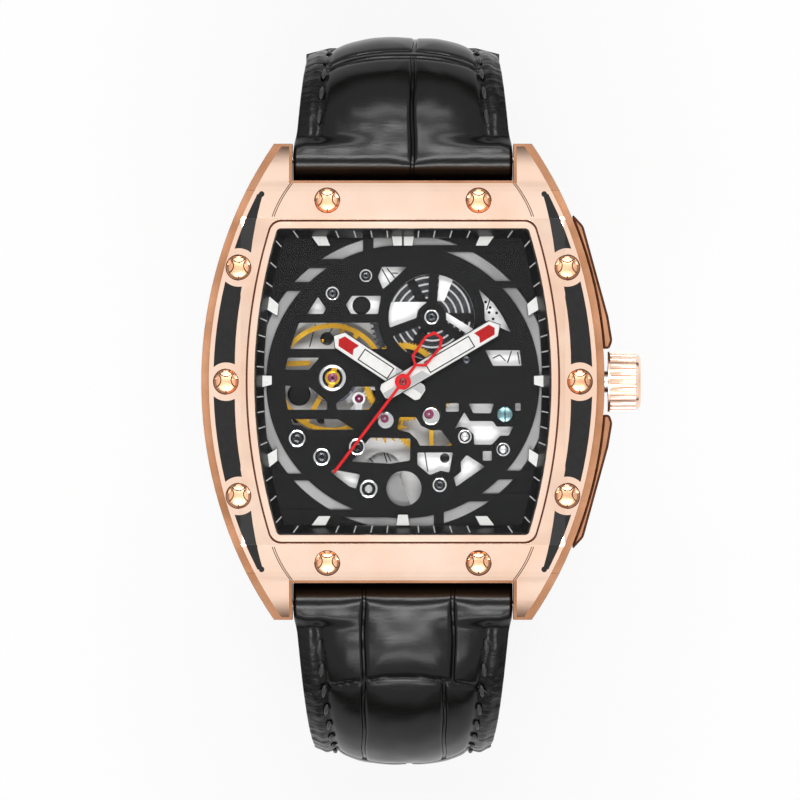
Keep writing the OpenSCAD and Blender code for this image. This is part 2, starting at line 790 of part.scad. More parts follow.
module train_bridge() color(steel) {
    difference() {
        union() {
            raise(bridge_z, bridge_top) bridge_plan();
            for (p = pillar_places) rod(p, pillar_r, bridge_z, plate_z - 0.01);
            at(pallet_at) raise(bridge_z, bridge_top) circle(norm(lever_post_at) + lever_post_r + 0.15);
            at(pallet_at) raise(bridge_z, bridge_top) rotate(-50) translate([0, -0.5]) square([3, 1]);
            lever_bridge();
        }
        rod(pallet_at, pivot_r + pivot_gap, lever_bridge_low - 0.5, lever_bridge_high + 1);
        for (p = bridge_jewels) rod(p, jewel_r + 0.01, bridge_z - 1, bridge_top + 0.5);
        for (p = pillar_places) rod(p, 0.38, bridge_z - 1, plate_z + 1);
        rod(barrel_at, arbor_top_r + pivot_gap, bridge_z - 1, bridge_top + 1);
        for (p = cock_screw_places) rod(p, 0.37, bridge_z - 1, bridge_top + 1);
        for (p = bearing_screw_places) rod(p, 0.2, bridge_z - 1, bridge_top + 1);
    }
}

module bridge_screws() color("#3a5c9a") {
    for (p = pillar_places) {
        rod(p, 0.7, bridge_z - 0.2, bridge_z);
        rod(p, 0.34, bridge_z - eps, plate_z + 0.3);
    }
    for (p = cock_screw_places) {
        rod(p, 0.7, cock_z - cock_screw_head, cock_z);
        rod(p, 0.35, cock_z - eps, bridge_top - 0.1);
    }
}

// The cock crosses the balance and lies under the bridge's edge.
cock_t = 0.3;
cock_screw_head = 0.15;
cock_z = bridge_z - cock_t;
cock_screw_places = [[-6.6, -7.2], [-5, -7.4]];
module balance_cock() color(steel) {
    difference() {
        raise(cock_z, bridge_z) {
            at(balance_at) circle(1.5);
            polygon([[-8.4, 0.2], [-7.4, -8.2], [-4.2, -8.2], [-5.9, 0.2]]);
        }
        rod(balance_at, jewel_r + 0.01, cock_z - 1, bridge_z + 1);
        for (p = cock_screw_places) rod(p, 0.37, cock_z - 1, bridge_top);
    }
}

module jewel(place, low, high) {
    difference() {
        rod(place, jewel_r, low, high);
        rod(place, pivot_r + pivot_gap, low - 1, high + 1);
    }
}

module jewels() color(ruby) {
    for (j = dial_jewels) jewel(j[0], plate_z, plate_top - 0.1);
    for (p = bridge_jewels) jewel(p, bridge_z, bridge_top);
    jewel(balance_at, cock_z, bridge_z);
}

module jewel_settings() color(gold) {
    for (j = dial_jewels) difference() {
        rod(j[0], setting_r, plate_z, plate_top);
        rod(j[0], jewel_r + 0.005, plate_z - 1, plate_top + 1);
    }
}

// Barrel: toothed rim, drum, cover, spring and arbor.
barrel_low = 3.45;
barrel_tooth_z = 4.5;
barrel_high = 4.74;
barrel_wall_r = 5.62;
module barrel() color(gold) {
    at(barrel_at) difference() {
        union() {
            raise(barrel_tooth_z, barrel_high)
                toothed(barrel_teeth, pitch_r(barrel_at, centre, barrel_teeth, centre_pinion),
                    barrel_to_centre);
            rod(centre, barrel_wall_r, barrel_low, barrel_tooth_z + eps);
        }
        rod(centre, barrel_wall_r - 0.25, barrel_low + 0.2, barrel_high + 1);
        rod(centre, arbor_mid_r + pivot_gap, barrel_low - 1, barrel_high);
    }
}

module barrel_cover() color("#222222") {
    at(barrel_at) raise(barrel_high - 0.16, barrel_high) difference() {
        circle(barrel_wall_r - 0.26);
        spoke_windows(1.47, barrel_wall_r - 0.9, 3, 0.9);
        circle(arbor_mid_r + pivot_gap);
    }
}

module mainspring() color("#c9ccd0") {
    at(barrel_at) raise(barrel_low + 0.25, barrel_high - 0.2)
        polygon(spiral(mainspring_turns, mainspring_r0, mainspring_pitch, mainspring_t, spiral_steps));
}

arbor_top_r = 0.4;
arbor_mid_r = 0.5;
module barrel_arbor() color(steel) {
    rod(barrel_at, arbor_top_r, bridge_z + 0.02, plate_top - 0.02);
    rod(barrel_at, arbor_mid_r, barrel_low - 0.1, barrel_high + 0.1);
    rod(barrel_at, 1.04, barrel_low + 0.25, barrel_high - 0.2);
}

// Going train. Hollow arbors nest on the centre axis.
fourth_arbor_r = 0.14;
arbor_in_r = 0.2;
arbor_out_r = 0.34;
hour_tube_in_r = 0.42;
hour_tube_out_r = 0.6;

module centre_wheel() color(gold) {
    difference() {
        union() {
            spoked_wheel(centre_teeth, pitch_r(centre, third_at, centre_teeth, third_pinion),
                centre_to_third, 4.8, 5, 4);
            raise(4.5, 4.8 + eps) toothed(centre_pinion,
                pitch_r(barrel_at, centre, centre_pinion, barrel_teeth),
                barrel_to_centre + 180 + 180 / centre_pinion);
            rod(centre, arbor_out_r, 4.5, minute_z + hand_t);
            rod(centre, 0.5, 4.99, plate_z - 0.03);
            // The cannon pinion that drives the motion work.
            raise(plate_top + 0.03, plate_top + 0.3) toothed(cannon_teeth,
                motion_d * cannon_teeth / (cannon_teeth + minute_teeth), minute_wheel_angle);
        }
        rod(centre, arbor_in_r, 4, minute_z + 1);
    }
}

module third_wheel() color(gold) {
    at(third_at) {
        spoked_wheel(third_teeth, pitch_r(centre, third_at, third_teeth, fourth_pinion),
            third_to_centre, 4.22, 4.4, 4);
        raise(4.39, 5.05) toothed(third_pinion, pitch_r(centre, third_at, third_pinion, centre_teeth),
            centre_to_third + 180 + 180 / third_pinion);
        rod(centre, 0.25, bridge_top + 0.1, plate_z - 0.1);
        rod(centre, pivot_r, bridge_z + 0.1, plate_top - 0.15);
    }
}

module fourth_wheel() color(gold) {
    spoked_wheel(fourth_teeth, pitch_r(centre, escape_at, fourth_teeth, escape_pinion),
        centre_to_escape, 3.1, 3.28, 5);
    raise(4.12, 4.44) toothed(fourth_pinion, pitch_r(centre, third_at, fourth_pinion, third_teeth),
        third_to_centre + 180 + 180 / fourth_pinion);
    rod(centre, 0.3, bridge_top + 0.08, 4.14);
    rod(centre, fourth_arbor_r, 4.1, second_z + hand_t - 0.1);
    rod(centre, pivot_r, bridge_z + 0.1, 3);
}

// Club teeth lean forward on the escape wheel.
escape_r = 2.3;
module escape_wheel() color(gold) {
    at(escape_at) {
        raise(fork_z, fork_z + fork_t) difference() {
            union() {
                circle(escape_r - 0.5);
                for (i = [0 : escape_teeth - 1])
                    rotate(i * 360 / escape_teeth)
                        polygon([[escape_r - 0.55, -0.14], [escape_r, 0.16], [escape_r - 0.06, 0.3],
                            [escape_r - 0.55, 0.14]]);
            }
            spoke_windows(0.5, escape_r - 0.8, 4, 0.22);
        }
        raise(3.02, 3.62) toothed(escape_pinion,
            pitch_r(centre, escape_at, escape_pinion, fourth_teeth),
            centre_to_escape + 180 + 180 / escape_pinion);
        rod(centre, 0.2, bridge_top + 0.05, plate_z - 0.1);
        rod(centre, pivot_r, bridge_z + 0.1, plate_top - 0.15);
    }
}

// Lever with two stones near the escape wheel and a fork towards the balance.
pallet_to_escape = bearing(pallet_at, escape_at);
pallet_to_balance = bearing(pallet_at, balance_at);
pallet_d = norm(escape_at - pallet_at);
module pallet_fork() color(steel) {
    at(pallet_at) {
        raise(fork_z, fork_z + fork_t) {
            circle(0.42);
            rotate(pallet_to_balance) {
                translate([0, -0.14]) square([2.1, 0.28]);
                for (s = [-1, 1])
                    translate([2.25, s * 0.22]) square([0.4, 0.18], center = true);
                translate([1.95, -0.31]) square([0.15, 0.62]);
            }
            rotate(pallet_to_escape) for (s = [-1, 1])
                polygon([[-0.2, 0], [0.15, s * 1.75], [0.9, s * 2], [0.9, s * 1.75], [0.4, s * 1.45],
                    [0.4, 0]]);
        }
        rod(centre, 0.2, bridge_top + 0.05, lever_bridge_low - 0.03);
        rod(centre, pivot_r, bridge_z + 0.1, lever_bridge_high - 0.02);
    }
}

hairspring_z = 4.62;
hairspring_t_z = 0.14;
roller_r = 0.75;
module balance_wheel() color(gold) {
    at(balance_at) {
        raise(balance_z, balance_z + 0.4) difference() {
            circle(balance_r);
            difference() {
                circle(balance_r - 0.5);
                circle(0.6);
                rotate(60) square([2 * balance_r, 0.5], center = true);
            }
        }
        for (i = [0 : 15])
            rotate(60 + 11.25 + i * 22.5) translate([balance_r - 0.25, 0, balance_z + 0.39])
                cylinder(r = 0.2, h = 0.2, $fn = 24);
        rod(centre, 0.5, 4.4, hairspring_z + hairspring_t_z);
        rod(centre, roller_r, fork_z + fork_t + 0.06, balance_z + eps);
        rotate(pallet_to_balance + 180) translate([roller_r - 0.16, 0, fork_z])
            cylinder(r = 0.11, h = 0.3, $fn = 24);
        rod(centre, 0.2, bridge_z + 0.1, plate_z - 0.05);
        rod(centre, pivot_r, cock_z + 0.05, plate_top - 0.15);
    }
}

hairspring_end_r = hairspring_r0 + hairspring_pitch * hairspring_turns;
stud_at = balance_at + [hairspring_end_r + hairspring_t / 2 + 0.16, 0];
module hairspring() color("#4060c0") {
    at(balance_at) raise(hairspring_z, hairspring_z + hairspring_t_z)
        polygon(spiral(hairspring_turns, hairspring_r0, hairspring_pitch, hairspring_t, spiral_steps));
}

// Motion work under the dial.
module minute_wheel() color(gold) {
    at(minute_wheel_at) difference() {
        union() {
            raise(plate_top + 0.05, plate_top + 0.28) toothed(minute_teeth,
                motion_d * minute_teeth / (cannon_teeth + minute_teeth),
                minute_wheel_angle + 180 + 180 / minute_teeth);
            raise(plate_top + 0.27, plate_top + 0.7) toothed(minute_pinion,
                motion_d * minute_pinion / (minute_pinion + hour_teeth), minute_wheel_angle + 180);
        }
        rod(centre, post_r + pivot_gap, plate_top - 1, plate_top + 1);
    }
}

module hour_wheel() color(gold) {
    difference() {
        union() {
            raise(plate_top + 0.42, plate_top + 0.68) toothed(hour_teeth,
                motion_d * hour_teeth / (minute_pinion + hour_teeth),
                minute_wheel_angle + 180 / hour_teeth);
            rod(centre, hour_tube_out_r, plate_top + 0.42, hour_z + hand_t);
        }
        rod(centre, hour_tube_in_r, plate_top, hour_z + 1);
    }
}

// Hands, drawn along +X and turned to about ten past ten.
hour_angle = 146.5;
minute_angle = 30.4;
second_angle = -127.2;
hour_half_w = 0.9;
minute_half_w = 0.87;
hand_tail = 2.35;
hand_point = 0.73;
hand_chamfer = 0.35;

module hand_outline(len, half_w) {
    polygon([
        [-hand_tail, hand_chamfer - half_w], [hand_chamfer - hand_tail, -half_w],
        [len - hand_point, -half_w], [len, 0], [len - hand_point, half_w],
        [hand_chamfer - hand_tail, half_w], [-hand_tail, half_w - hand_chamfer]
    ]);
}

module hour_hand() color("white") {
    raise(hour_z, hour_z + hand_t) difference() {
        rotate(hour_angle) hand_outline(hour_len, hour_half_w);
        circle(hour_tube_out_r);
    }
}

module minute_hand() color("white") {
    raise(minute_z, minute_z + hand_t) difference() {
        rotate(minute_angle) hand_outline(minute_len, minute_half_w);
        circle(arbor_out_r);
    }
}

// The second hand's tail carries an open loop.
second_w = 0.23;
second_hub_r = 0.77;
loop_from = 1.95;
loop_to = 5.9;
loop_half_w = 1;
loop_line = 0.2;
module loop_outline(trim) {
    w = loop_half_w - trim;
    polygon([
        [loop_from + 1.2 * trim, 0], [loop_from + 0.65 + trim / 2, w - 0.13], [loop_to - 0.95, w],
        [loop_to - trim, w - 0.45], [loop_to - trim, 0.45 - w], [loop_to - 0.95, -w],
        [loop_from + 0.65 + trim / 2, 0.13 - w]
    ]);
}

module second_hand() color("#f01018") {
    difference() {
        raise(second_z, second_z + hand_t) union() {
            circle(second_hub_r);
            rotate(second_angle) translate([-loop_from - loop_line, -second_w / 2])
                square([second_len + loop_from + loop_line, second_w]);
            rotate(second_angle + 180) difference() {
                loop_outline(0);
                loop_outline(loop_line);
            }
        }
        rod(centre, fourth_arbor_r, second_z - 1, second_z + hand_t - 0.1);
    }
}

// Winding rotor behind the bridge.
bearing_r = 1.6;
bearing_screw_places = [for (i = [0 : 2]) 1 * [cos(90 + 120 * i), sin(90 + 120 * i)]];
module rotor() color("#8f9296") {
    raise(rotor_z, rotor_z + rotor_t) difference() {
        intersection() {
            circle(rotor_r);
            union() {
                circle(3);
                translate([-20, -20]) square([40, 20]);
            }
        }
        circle(bearing_r + 0.04);
        intersection() {
            difference() {
                circle(9.2);
                circle(3.4);
                for (a = [210, 270, 330]) rotate(a) translate([0, -0.6]) square([20, 1.2]);
            }
            translate([-20, -20.8]) square([40, 20]);
        }
    }
}

module rotor_bearing() color(steel) {
    rod(centre, bearing_r, rotor_z - 0.1, cock_z);
    rod(centre, 2.2, rotor_z + rotor_t + 0.05, bridge_z);
    for (p = bearing_screw_places) rod(p, 0.18, bridge_z - eps, bridge_z + 0.4);
}

// Crown and stem, drawn along +X.
crown_x = case_half_w + 0.35;
crown_wall_x = crown_x + 1.4;
module crown() color(rose) {
    translate([crown_x, 0, stem_z]) rotate([0, 90, 0]) difference() {
        union() {
            difference() {
                cylinder(r = crown_r, h = crown_len);
                for (i = [0 : crown_flutes - 1])
                    rotate(i * 360 / crown_flutes) translate([crown_r + 0.08, 0, 0.25])
                        cylinder(r = 0.26, h = crown_len, $fn = 20);
            }
            translate([0, 0, crown_len - eps]) rotate_extrude()
                polygon([[0, 0], [crown_r - 0.25, 0], [crown_r - 0.3, 0.3], [crown_r - 0.55, 0.5], [0, 0.5]]);
        }
        translate([0, 0, -1]) cylinder(r = tube_r + 0.45, h = 2.4);
        translate([0, 0, 1]) cylinder(r = stem_r, h = 1.2);
    }
}

stem_r = 0.45;
module winding_stem() color(steel) {
    translate([dial_r + 0.35, 0, stem_z]) rotate([0, 90, 0])
        cylinder(r = stem_r, h = crown_x + 2.2 - dial_r - 0.35);
}

module crown_gasket() color(black) {
    translate([crown_x + 0.3, 0, stem_z]) rotate([0, 90, 0]) difference() {
        cylinder(r = tube_r + 0.4, h = 0.6);
        translate([0, 0, -1]) cylinder(r = tube_r + 0.04, h = 3);
    }
}

// Strap. Each half follows a path of straights and bends: length, and turn over that length.
lead = 3;
lead_slope = -15;
foot_bend_r = 13;
function bend(r, turn) = [r * abs(turn) * PI / 180, turn];
upper_bend_12 = 9.7;
upper_bend_6 = 15.2;
keeper_t = 0.9;
keeper_gap = 0.12;
thin_t = 1.2;
foot_12_z = -stand_z + thin_t + keeper_gap + keeper_t;
foot_6_z = -stand_z + pad_t;
function drop(upper_r, foot_z) = bar_z - lead * sin(-lead_slope) - upper_r * cos(lead_slope) - foot_bend_r
    - foot_z;
flat_12 = 13;
path_12 = [
    [lead, 0], bend(upper_bend_12, -90 - lead_slope), [drop(upper_bend_12, foot_12_z), 0],
    bend(foot_bend_r, -90), [flat_12, 0]
];
curl_r = 11;
tail_up = 22;
path_6 = [
    [lead, 0], bend(upper_bend_6, -90 - lead_slope), [drop(upper_bend_6, foot_6_z), 0],
    bend(foot_bend_r, -90), [2, 0], bend(curl_r, -90), [tail_up, 0]
];

function total(path, i = 0) = i >= len(path) ? 0 : path[i][0] + total(path, i + 1);

// Place and heading at a distance s along a path, as [y, z, heading].
function walk(path, s, y = bar_y, z = bar_z, a = lead_slope, i = 0) =
    let (
        length = path[i][0],
        here = min(s, length),
        turn = path[i][1] * here / length,
        chord = turn == 0 ? here : 2 * here / (turn * PI / 180) * sin(turn / 2),
        mid = a + turn / 2,
        ny = y + chord * cos(mid),
        nz = z + chord * sin(mid)
    )
    s <= length || i == len(path) - 1 ? [ny, nz, a + turn] : walk(path, s - length, ny, nz, a + turn, i + 1);

taper_len = 20;
function half_width(s) = (strap_w - (strap_w - strap_end_w) * min(1, s / taper_len)) / 2;

// Height of the padded middle at s: full near the case, thin where the keepers run.
pad_fade_12 = [26, 34];
pad_fade_6 = [84, 92];
pad_start_t = 1.5;
pad_start_len = 5;
function pad(s, fade) = s < pad_start_len ? pad_start_t + (pad_t - pad_start_t) * s / pad_start_len
    : pad_t - (pad_t - thin_t) * max(0, min(1, (s - fade[0]) / (fade[1] - fade[0])));

// Cross-section points [x, height] of the leather and of the lining.
function leather_section(w, p) = [
    [-w, 0], [-w, edge_t - 0.15], [-w + 0.4, edge_t], [-w + 2.7, edge_t], [-w + 4.4, p * 0.86 + edge_t * 0.14],
    [-w + 6.6, p], [w - 6.6, p], [w - 4.4, p * 0.86 + edge_t * 0.14], [w - 2.7, edge_t], [w - 0.4, edge_t],
    [w, edge_t - 0.15], [w, 0]
];
function lining_section(w) = [[-w, -lining_t], [-w, 0], [w, 0], [w, -lining_t]];

function ring_at(place, section) = [
    for (q = section)
        [q[0], place[0] - q[1] * sin(place[2]), place[1] + q[1] * cos(place[2])]
];

module swept(rings) {
    n = len(rings[0]);
    m = len(rings);
    polyhedron(
        points = [for (r = rings) for (q = r) q],
        faces = concat(
            [[for (j = [0 : n - 1]) j]],
            [for (i = [0 : m - 2], j = [0 : n - 1]) [i * n + j, (i + 1) * n + (j + 1) % n, i * n + (j + 1) % n]],
            [for (i = [0 : m - 2], j = [0 : n - 1]) [i * n + j, (i + 1) * n + j, (i + 1) * n + (j + 1) % n]],
            [[for (j = [0 : n - 1]) (m - 1) * n + n - 1 - j]]
        )
    );
}

// Distances along a path at whole steps, with both ends, so that layers share their rings.
ring_step = 1.6;
function stations(from, to) = concat(
    [from],
    [
        for (i = [1 : floor(to / ring_step)])
            if (i * ring_step > from + 0.1 && i * ring_step < to - 0.1) i * ring_step
    ],
    [to]
);
function evenly(from, to, step) = let (n = round((to - from) / step))
    [for (i = [0 : n]) from + (to - from) * i / n];

module leather_run(path, fade, from, to) {
    swept([
        for (s = stations(from, to)) ring_at(walk(path, s), leather_section(half_width(s), pad(s, fade)))
    ]);
}

module lining_run(path, from, to) {
    swept([for (s = stations(from, to)) ring_at(walk(path, s), lining_section(half_width(s)))]);
}

module bar_loop() {
    difference() {
        union() {
            children();
            translate([-strap_w / 2, bar_y, bar_z]) rotate([0, 90, 0]) cylinder(r = bar_loop_r, h = strap_w);
        }
        translate([-strap_w, bar_y, bar_z]) rotate([0, 90, 0])
            cylinder(r = bar_r + 0.05, h = 2 * strap_w);
    }
}

len_12 = total(path_12);
len_6 = total(path_6);
leather_start = 0.4;
lining_start = 1.95;
buckle_trim = 1.9;
bar_loop_r = 1.8;
end_12 = walk(path_12, len_12);
module strap_12_leather() color(leather) {
    difference() {
        bar_loop() leather_run(path_12, pad_fade_12, leather_start, len_12 - buckle_trim);
        buckle_slot();
    }
    buckle_loop();
}

module strap_12_lining() color("#26221f") {
    difference() {
        lining_run(path_12, lining_start, len_12 - buckle_trim);
        buckle_slot();
    }
}

module mirror_y() {
    mirror([0, 1, 0]) children();
}

// Holes in the long half, from its tip back.
hole_r = 1;
hole_pitch = 6.5;
hole_count = 7;
first_hole = 12;
upward = -270;
module strap_holes() {
    for (i = [0 : hole_count - 1]) {
        p = walk(path_6, len_6 - first_hole - i * hole_pitch);
        if (abs(p[2] - upward) < 1)
            translate([0, p[0] - 5, p[1]]) rotate([-90, 0, 0]) cylinder(r = hole_r, h = 10);
    }
}

module strap_6_leather() color(leather) {
    mirror_y() difference() {
        bar_loop() leather_run(path_6, pad_fade_6, leather_start, len_6);
        strap_holes();
        tail_trim();
    }
}

module strap_6_lining() color("#26221f") {
    mirror_y() difference() {
        lining_run(path_6, lining_start, len_6);
        strap_holes();
        tail_trim();
    }
}

// Cuts that round the tip of the long half.
tip = walk(path_6, len_6);
tip_len = 7;
tip_shift = 0.16;
module tail_trim() {
    translate([0, tip[0], tip[1]]) rotate([90, 0, 0]) translate([0, -tip_len, -5]) linear_extrude(10)
        difference() {
            translate([-strap_w, 0]) square([2 * strap_w, strap_w]);
            intersection() {
                translate([strap_end_w * tip_shift, 0]) circle(strap_end_w * (0.5 + tip_shift));
                translate([-strap_end_w * tip_shift, 0]) circle(strap_end_w * (0.5 + tip_shift));
            }
        }
}

stitch_in = 1.75;
stitch_w = 0.4;
stitch_len = 1.6;
stitch_t = 0.2;
module stitches(path, from, to) {
    for (s = evenly(from, to, stitch_pitch), side = [-1, 1]) {
        p = walk(path, s);
        translate([side * (half_width(s) - stitch_in), p[0], p[1]]) rotate([p[2], 0, 0])
            translate([-stitch_w / 2, -stitch_len / 2, edge_t - 0.12]) cube([stitch_w, stitch_len, stitch_t]);
    }
}

module strap_12_stitching() color("#050505") {
    stitches(path_12, 4, len_12 - 4);
}

module strap_6_stitching() color("#050505") {
    mirror_y() stitches(path_6, 4, len_6 - 11);
}

// Keepers round the short half.
keeper_w = 4;
module keeper(s, gap) {
    p = walk(path_12, s);
    w = half_width(s);
    translate([0, p[0], p[1]]) rotate([p[2], 0, 0]) difference() {
        translate([-w - gap - keeper_t, -keeper_w / 2, -lining_t - gap - keeper_t])
            cube([2 * (w + gap + keeper_t), keeper_w, lining_t + thin_t + 2 * (gap + keeper_t)]);
        translate([-w - gap, -keeper_w, -lining_t - gap])
            cube([2 * (w + gap), 2 * keeper_w, lining_t + thin_t + 2 * gap]);
    }
}

fixed_keeper_s = len_12 - 8;
sliding_keeper_s = 40;
module fixed_keeper() color(leather) {
    keeper(fixed_keeper_s, keeper_gap);
}

module sliding_keeper() color(leather) {
    keeper(sliding_keeper_s, keeper_gap);
}

// Buckle at the end of the short half. The strap's end heads along -Y there.
buckle_y = end_12[0];
buckle_z = end_12[1];
tongue_w = 2.4;
loop_r = 1.5;
buckle_bar_r = 0.7;
module buckle_slot() {
    translate([-tongue_w / 2 - 0.4, buckle_y - 3, buckle_z - 4]) cube([tongue_w + 0.8, 6.4, 8]);
}

module buckle_loop() {
    for (s = [0, 1]) mirror([s, 0, 0]) difference() {
        union() {
            translate([tongue_w / 2 + 0.4, buckle_y, buckle_z]) rotate([0, 90, 0])
                cylinder(r = loop_r, h = strap_end_w / 2 - tongue_w / 2 - 0.4);
            translate([tongue_w / 2 + 0.4, buckle_y, buckle_z - 1])
                cube([strap_end_w / 2 - tongue_w / 2 - 0.4, 1.95, 1]);
        }
        translate([-1, buckle_y, buckle_z]) rotate([0, 90, 0]) cylinder(r = buckle_bar_r + 0.02, h = 20);
    }
}

frame_half_w = strap_end_w / 2 + 0.25;
frame_arm = 1.6;
module buckle_bar() color(steel) {
    translate([0, buckle_y, buckle_z]) rotate([0, 90, 0]) {
        cylinder(r = buckle_bar_r, h = strap_end_w, center = true);
        cylinder(r = 0.4, h = 2 * frame_half_w + 1.6, center = true);
    }
}

frame_len = 9.5;
frame_low = -1.1;
frame_high = 1.1;
module buckle_frame() color(rose) {
    translate([0, buckle_y, buckle_z]) difference() {
        union() {
            for (s = [0, 1]) mirror([s, 0, 0]) {
                translate([frame_half_w, -frame_len, frame_low])
                    cube([frame_arm, frame_len, frame_high - frame_low]);
                translate([frame_half_w, 0, 0]) rotate([0, 90, 0]) cylinder(r = frame_high, h = frame_arm);
            }
            translate([-frame_half_w - frame_arm, -frame_len, frame_low])
                cube([2 * (frame_half_w + frame_arm), 2, frame_high - frame_low]);
        }
        translate([-tongue_w / 2 - 0.1, -frame_len - 1, frame_low - 1]) cube([tongue_w + 0.2, 4, 1.5]);
        rotate([0, 90, 0]) cylinder(r = 0.43, h = 2 * frame_half_w + 2, center = true);
    }
}

module buckle_tongue() color(rose) {
    translate([0, buckle_y, buckle_z]) difference() {
        union() {
            translate([-tongue_w / 2, 0, 0]) rotate([0, 90, 0]) cylinder(r = 1.35, h = tongue_w);
            translate([-tongue_w / 2, -frame_len + 0.3, frame_low - 0.15])
                cube([tongue_w, frame_len - 0.3, 0.6]);
        }
        rotate([0, 90, 0]) cylinder(r = buckle_bar_r + 0.05, h = 10, center = true);
    }
}

case_middle();
bezel();
bezel_screws();
side_inserts();
crown_guards();
crown_tube();
case_back();
case_back_glass();
case_back_gasket();
case_back_screws();
crystal();
crystal_gasket();
spring_bar_12();
spring_bar_6();
dial_base();
dial_ring();
dial_plate();
minute_flange();
hour_markers();
minute_ticks();
dial_screws();
movement_ring();
main_plate();
train_bridge();
bridge_screws();
balance_cock();
jewels();
jewel_settings();
barrel();
barrel_cover();
mainspring();
barrel_arbor();
centre_wheel();
third_wheel();
fourth_wheel();
escape_wheel();
pallet_fork();
balance_wheel();
hairspring();
hour_wheel();
minute_wheel();
hour_hand();
minute_hand();
second_hand();
rotor();
rotor_bearing();
crown();
crown_gasket();
winding_stem();
strap_12_leather();
strap_12_lining();
strap_12_stitching();
strap_6_leather();
strap_6_lining();
strap_6_stitching();
fixed_keeper();
sliding_keeper();
buckle_bar();
buckle_frame();
buckle_tongue();
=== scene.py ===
import itertools
import json
from math import atan2, cos, degrees, exp, pi, radians, sin, sqrt

import bmesh
import bpy
from mathutils import Matrix, Vector, noise
from mathutils.bvhtree import BVHTree


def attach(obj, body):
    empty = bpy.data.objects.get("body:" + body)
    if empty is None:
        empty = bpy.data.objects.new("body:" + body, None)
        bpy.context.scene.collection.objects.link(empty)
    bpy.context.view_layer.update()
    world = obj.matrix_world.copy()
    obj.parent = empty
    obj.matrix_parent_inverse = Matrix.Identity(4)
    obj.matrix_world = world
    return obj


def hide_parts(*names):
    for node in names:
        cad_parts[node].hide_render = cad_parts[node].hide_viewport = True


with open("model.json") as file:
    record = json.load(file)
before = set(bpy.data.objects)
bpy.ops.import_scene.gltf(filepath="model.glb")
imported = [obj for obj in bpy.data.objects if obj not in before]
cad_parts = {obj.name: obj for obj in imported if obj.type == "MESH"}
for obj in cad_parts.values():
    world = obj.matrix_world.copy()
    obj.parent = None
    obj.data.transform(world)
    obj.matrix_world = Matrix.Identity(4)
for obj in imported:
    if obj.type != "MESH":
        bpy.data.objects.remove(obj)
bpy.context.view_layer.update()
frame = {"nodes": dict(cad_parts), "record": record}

scene = bpy.context.scene
scene.view_settings.view_transform = "Standard"
mm = 0.001  # lengths below are millimetres


# Colours and materials

def toLinear(hexColour):
    parts = [int(hexColour[i:i + 2], 16) / 255 for i in (1, 3, 5)]
    return [p / 12.92 if p <= 0.04045 else ((p + 0.055) / 1.055) ** 2.4 for p in parts] + [1]


def addNode(tree, kind, settings=None, links=None, **attributes):
    node = tree.nodes.new("ShaderNode" + kind)
    for name, value in attributes.items():
        setattr(node, name, value)
    for name, value in (settings or {}).items():
        node.inputs[name].default_value = value
    for name, source in (links or {}).items():
        tree.links.new(source, node.inputs[name])
    return node


def emptyTree(owner):
    owner.use_nodes = True
    owner.node_tree.nodes.clear()
    return owner.node_tree


def newMaterial(name, settings):
    material = bpy.data.materials.new(name)
    tree = emptyTree(material)
    shader = addNode(tree, "BsdfPrincipled", settings)
    addNode(tree, "OutputMaterial", links={"Surface": shader.outputs[0]})
    return material, tree, shader


def maths(tree, operation, first, second=0.0):
    # each side is a socket or a number
    sides = {0: first, 1: second}
    numbers = {k: side for k, side in sides.items() if isinstance(side, (int, float))}
    sockets = {k: side for k, side in sides.items() if k not in numbers}
    return addNode(tree, "Math", numbers, sockets, operation=operation).outputs[0]


def objectPattern(tree, scale, stretch=(1, 1, 1), detail=3):
    place = addNode(tree, "TexCoord")
    turn = addNode(tree, "Mapping", {"Scale": stretch}, {"Vector": place.outputs["Object"]})
    return addNode(tree, "TexNoise", {"Scale": scale, "Detail": detail}, {"Vector": turn.outputs[0]}).outputs[0]


def twoTone(tree, shader, factor, first, second, low=0.35, high=0.65, socket="Base Color"):
    ramp = addNode(tree, "ValToRGB", links={"Fac": factor})
    for element, position, tone in zip(ramp.color_ramp.elements, (low, high), (first, second)):
        element.position = position
        element.color = toLinear(tone) if isinstance(tone, str) else (tone, tone, tone, 1)
    tree.links.new(ramp.outputs[0], shader.inputs[socket])


def bumpFrom(tree, shader, height, depth, strength=1.0):
    bump = addNode(tree, "Bump", {"Strength": strength, "Distance": depth * mm}, {"Height": height})
    tree.links.new(bump.outputs[0], shader.inputs["Normal"])


def polishedMetal(name, light, dark, gloss, grain=None, metallic=1.0):
    # soft clouds in the tone and in the gloss, and hairlines where it was brushed
    material, tree, shader = newMaterial(name, {"Metallic": metallic, "Roughness": gloss[0]})
    twoTone(tree, shader, objectPattern(tree, 140), dark, light)
    if grain:
        lines = objectPattern(tree, 1000, grain, 4)
        twoTone(tree, shader, lines, gloss[0], gloss[1], 0.3, 0.7, "Roughness")
        bumpFrom(tree, shader, lines, 0.003)
    else:
        twoTone(tree, shader, objectPattern(tree, 420), gloss[0], gloss[1], 0.3, 0.7, "Roughness")
    return material


def lacquer(name, light, dark, roughness, depth, scale, level=0.5):
    # sprayed and baked colour, with a faint orange-peel skin
    material, tree, shader = newMaterial(name, {"Roughness": roughness, "Specular IOR Level": level})
    skin = objectPattern(tree, scale)
    twoTone(tree, shader, skin, dark, light)
    bumpFrom(tree, shader, skin, depth)
    return material


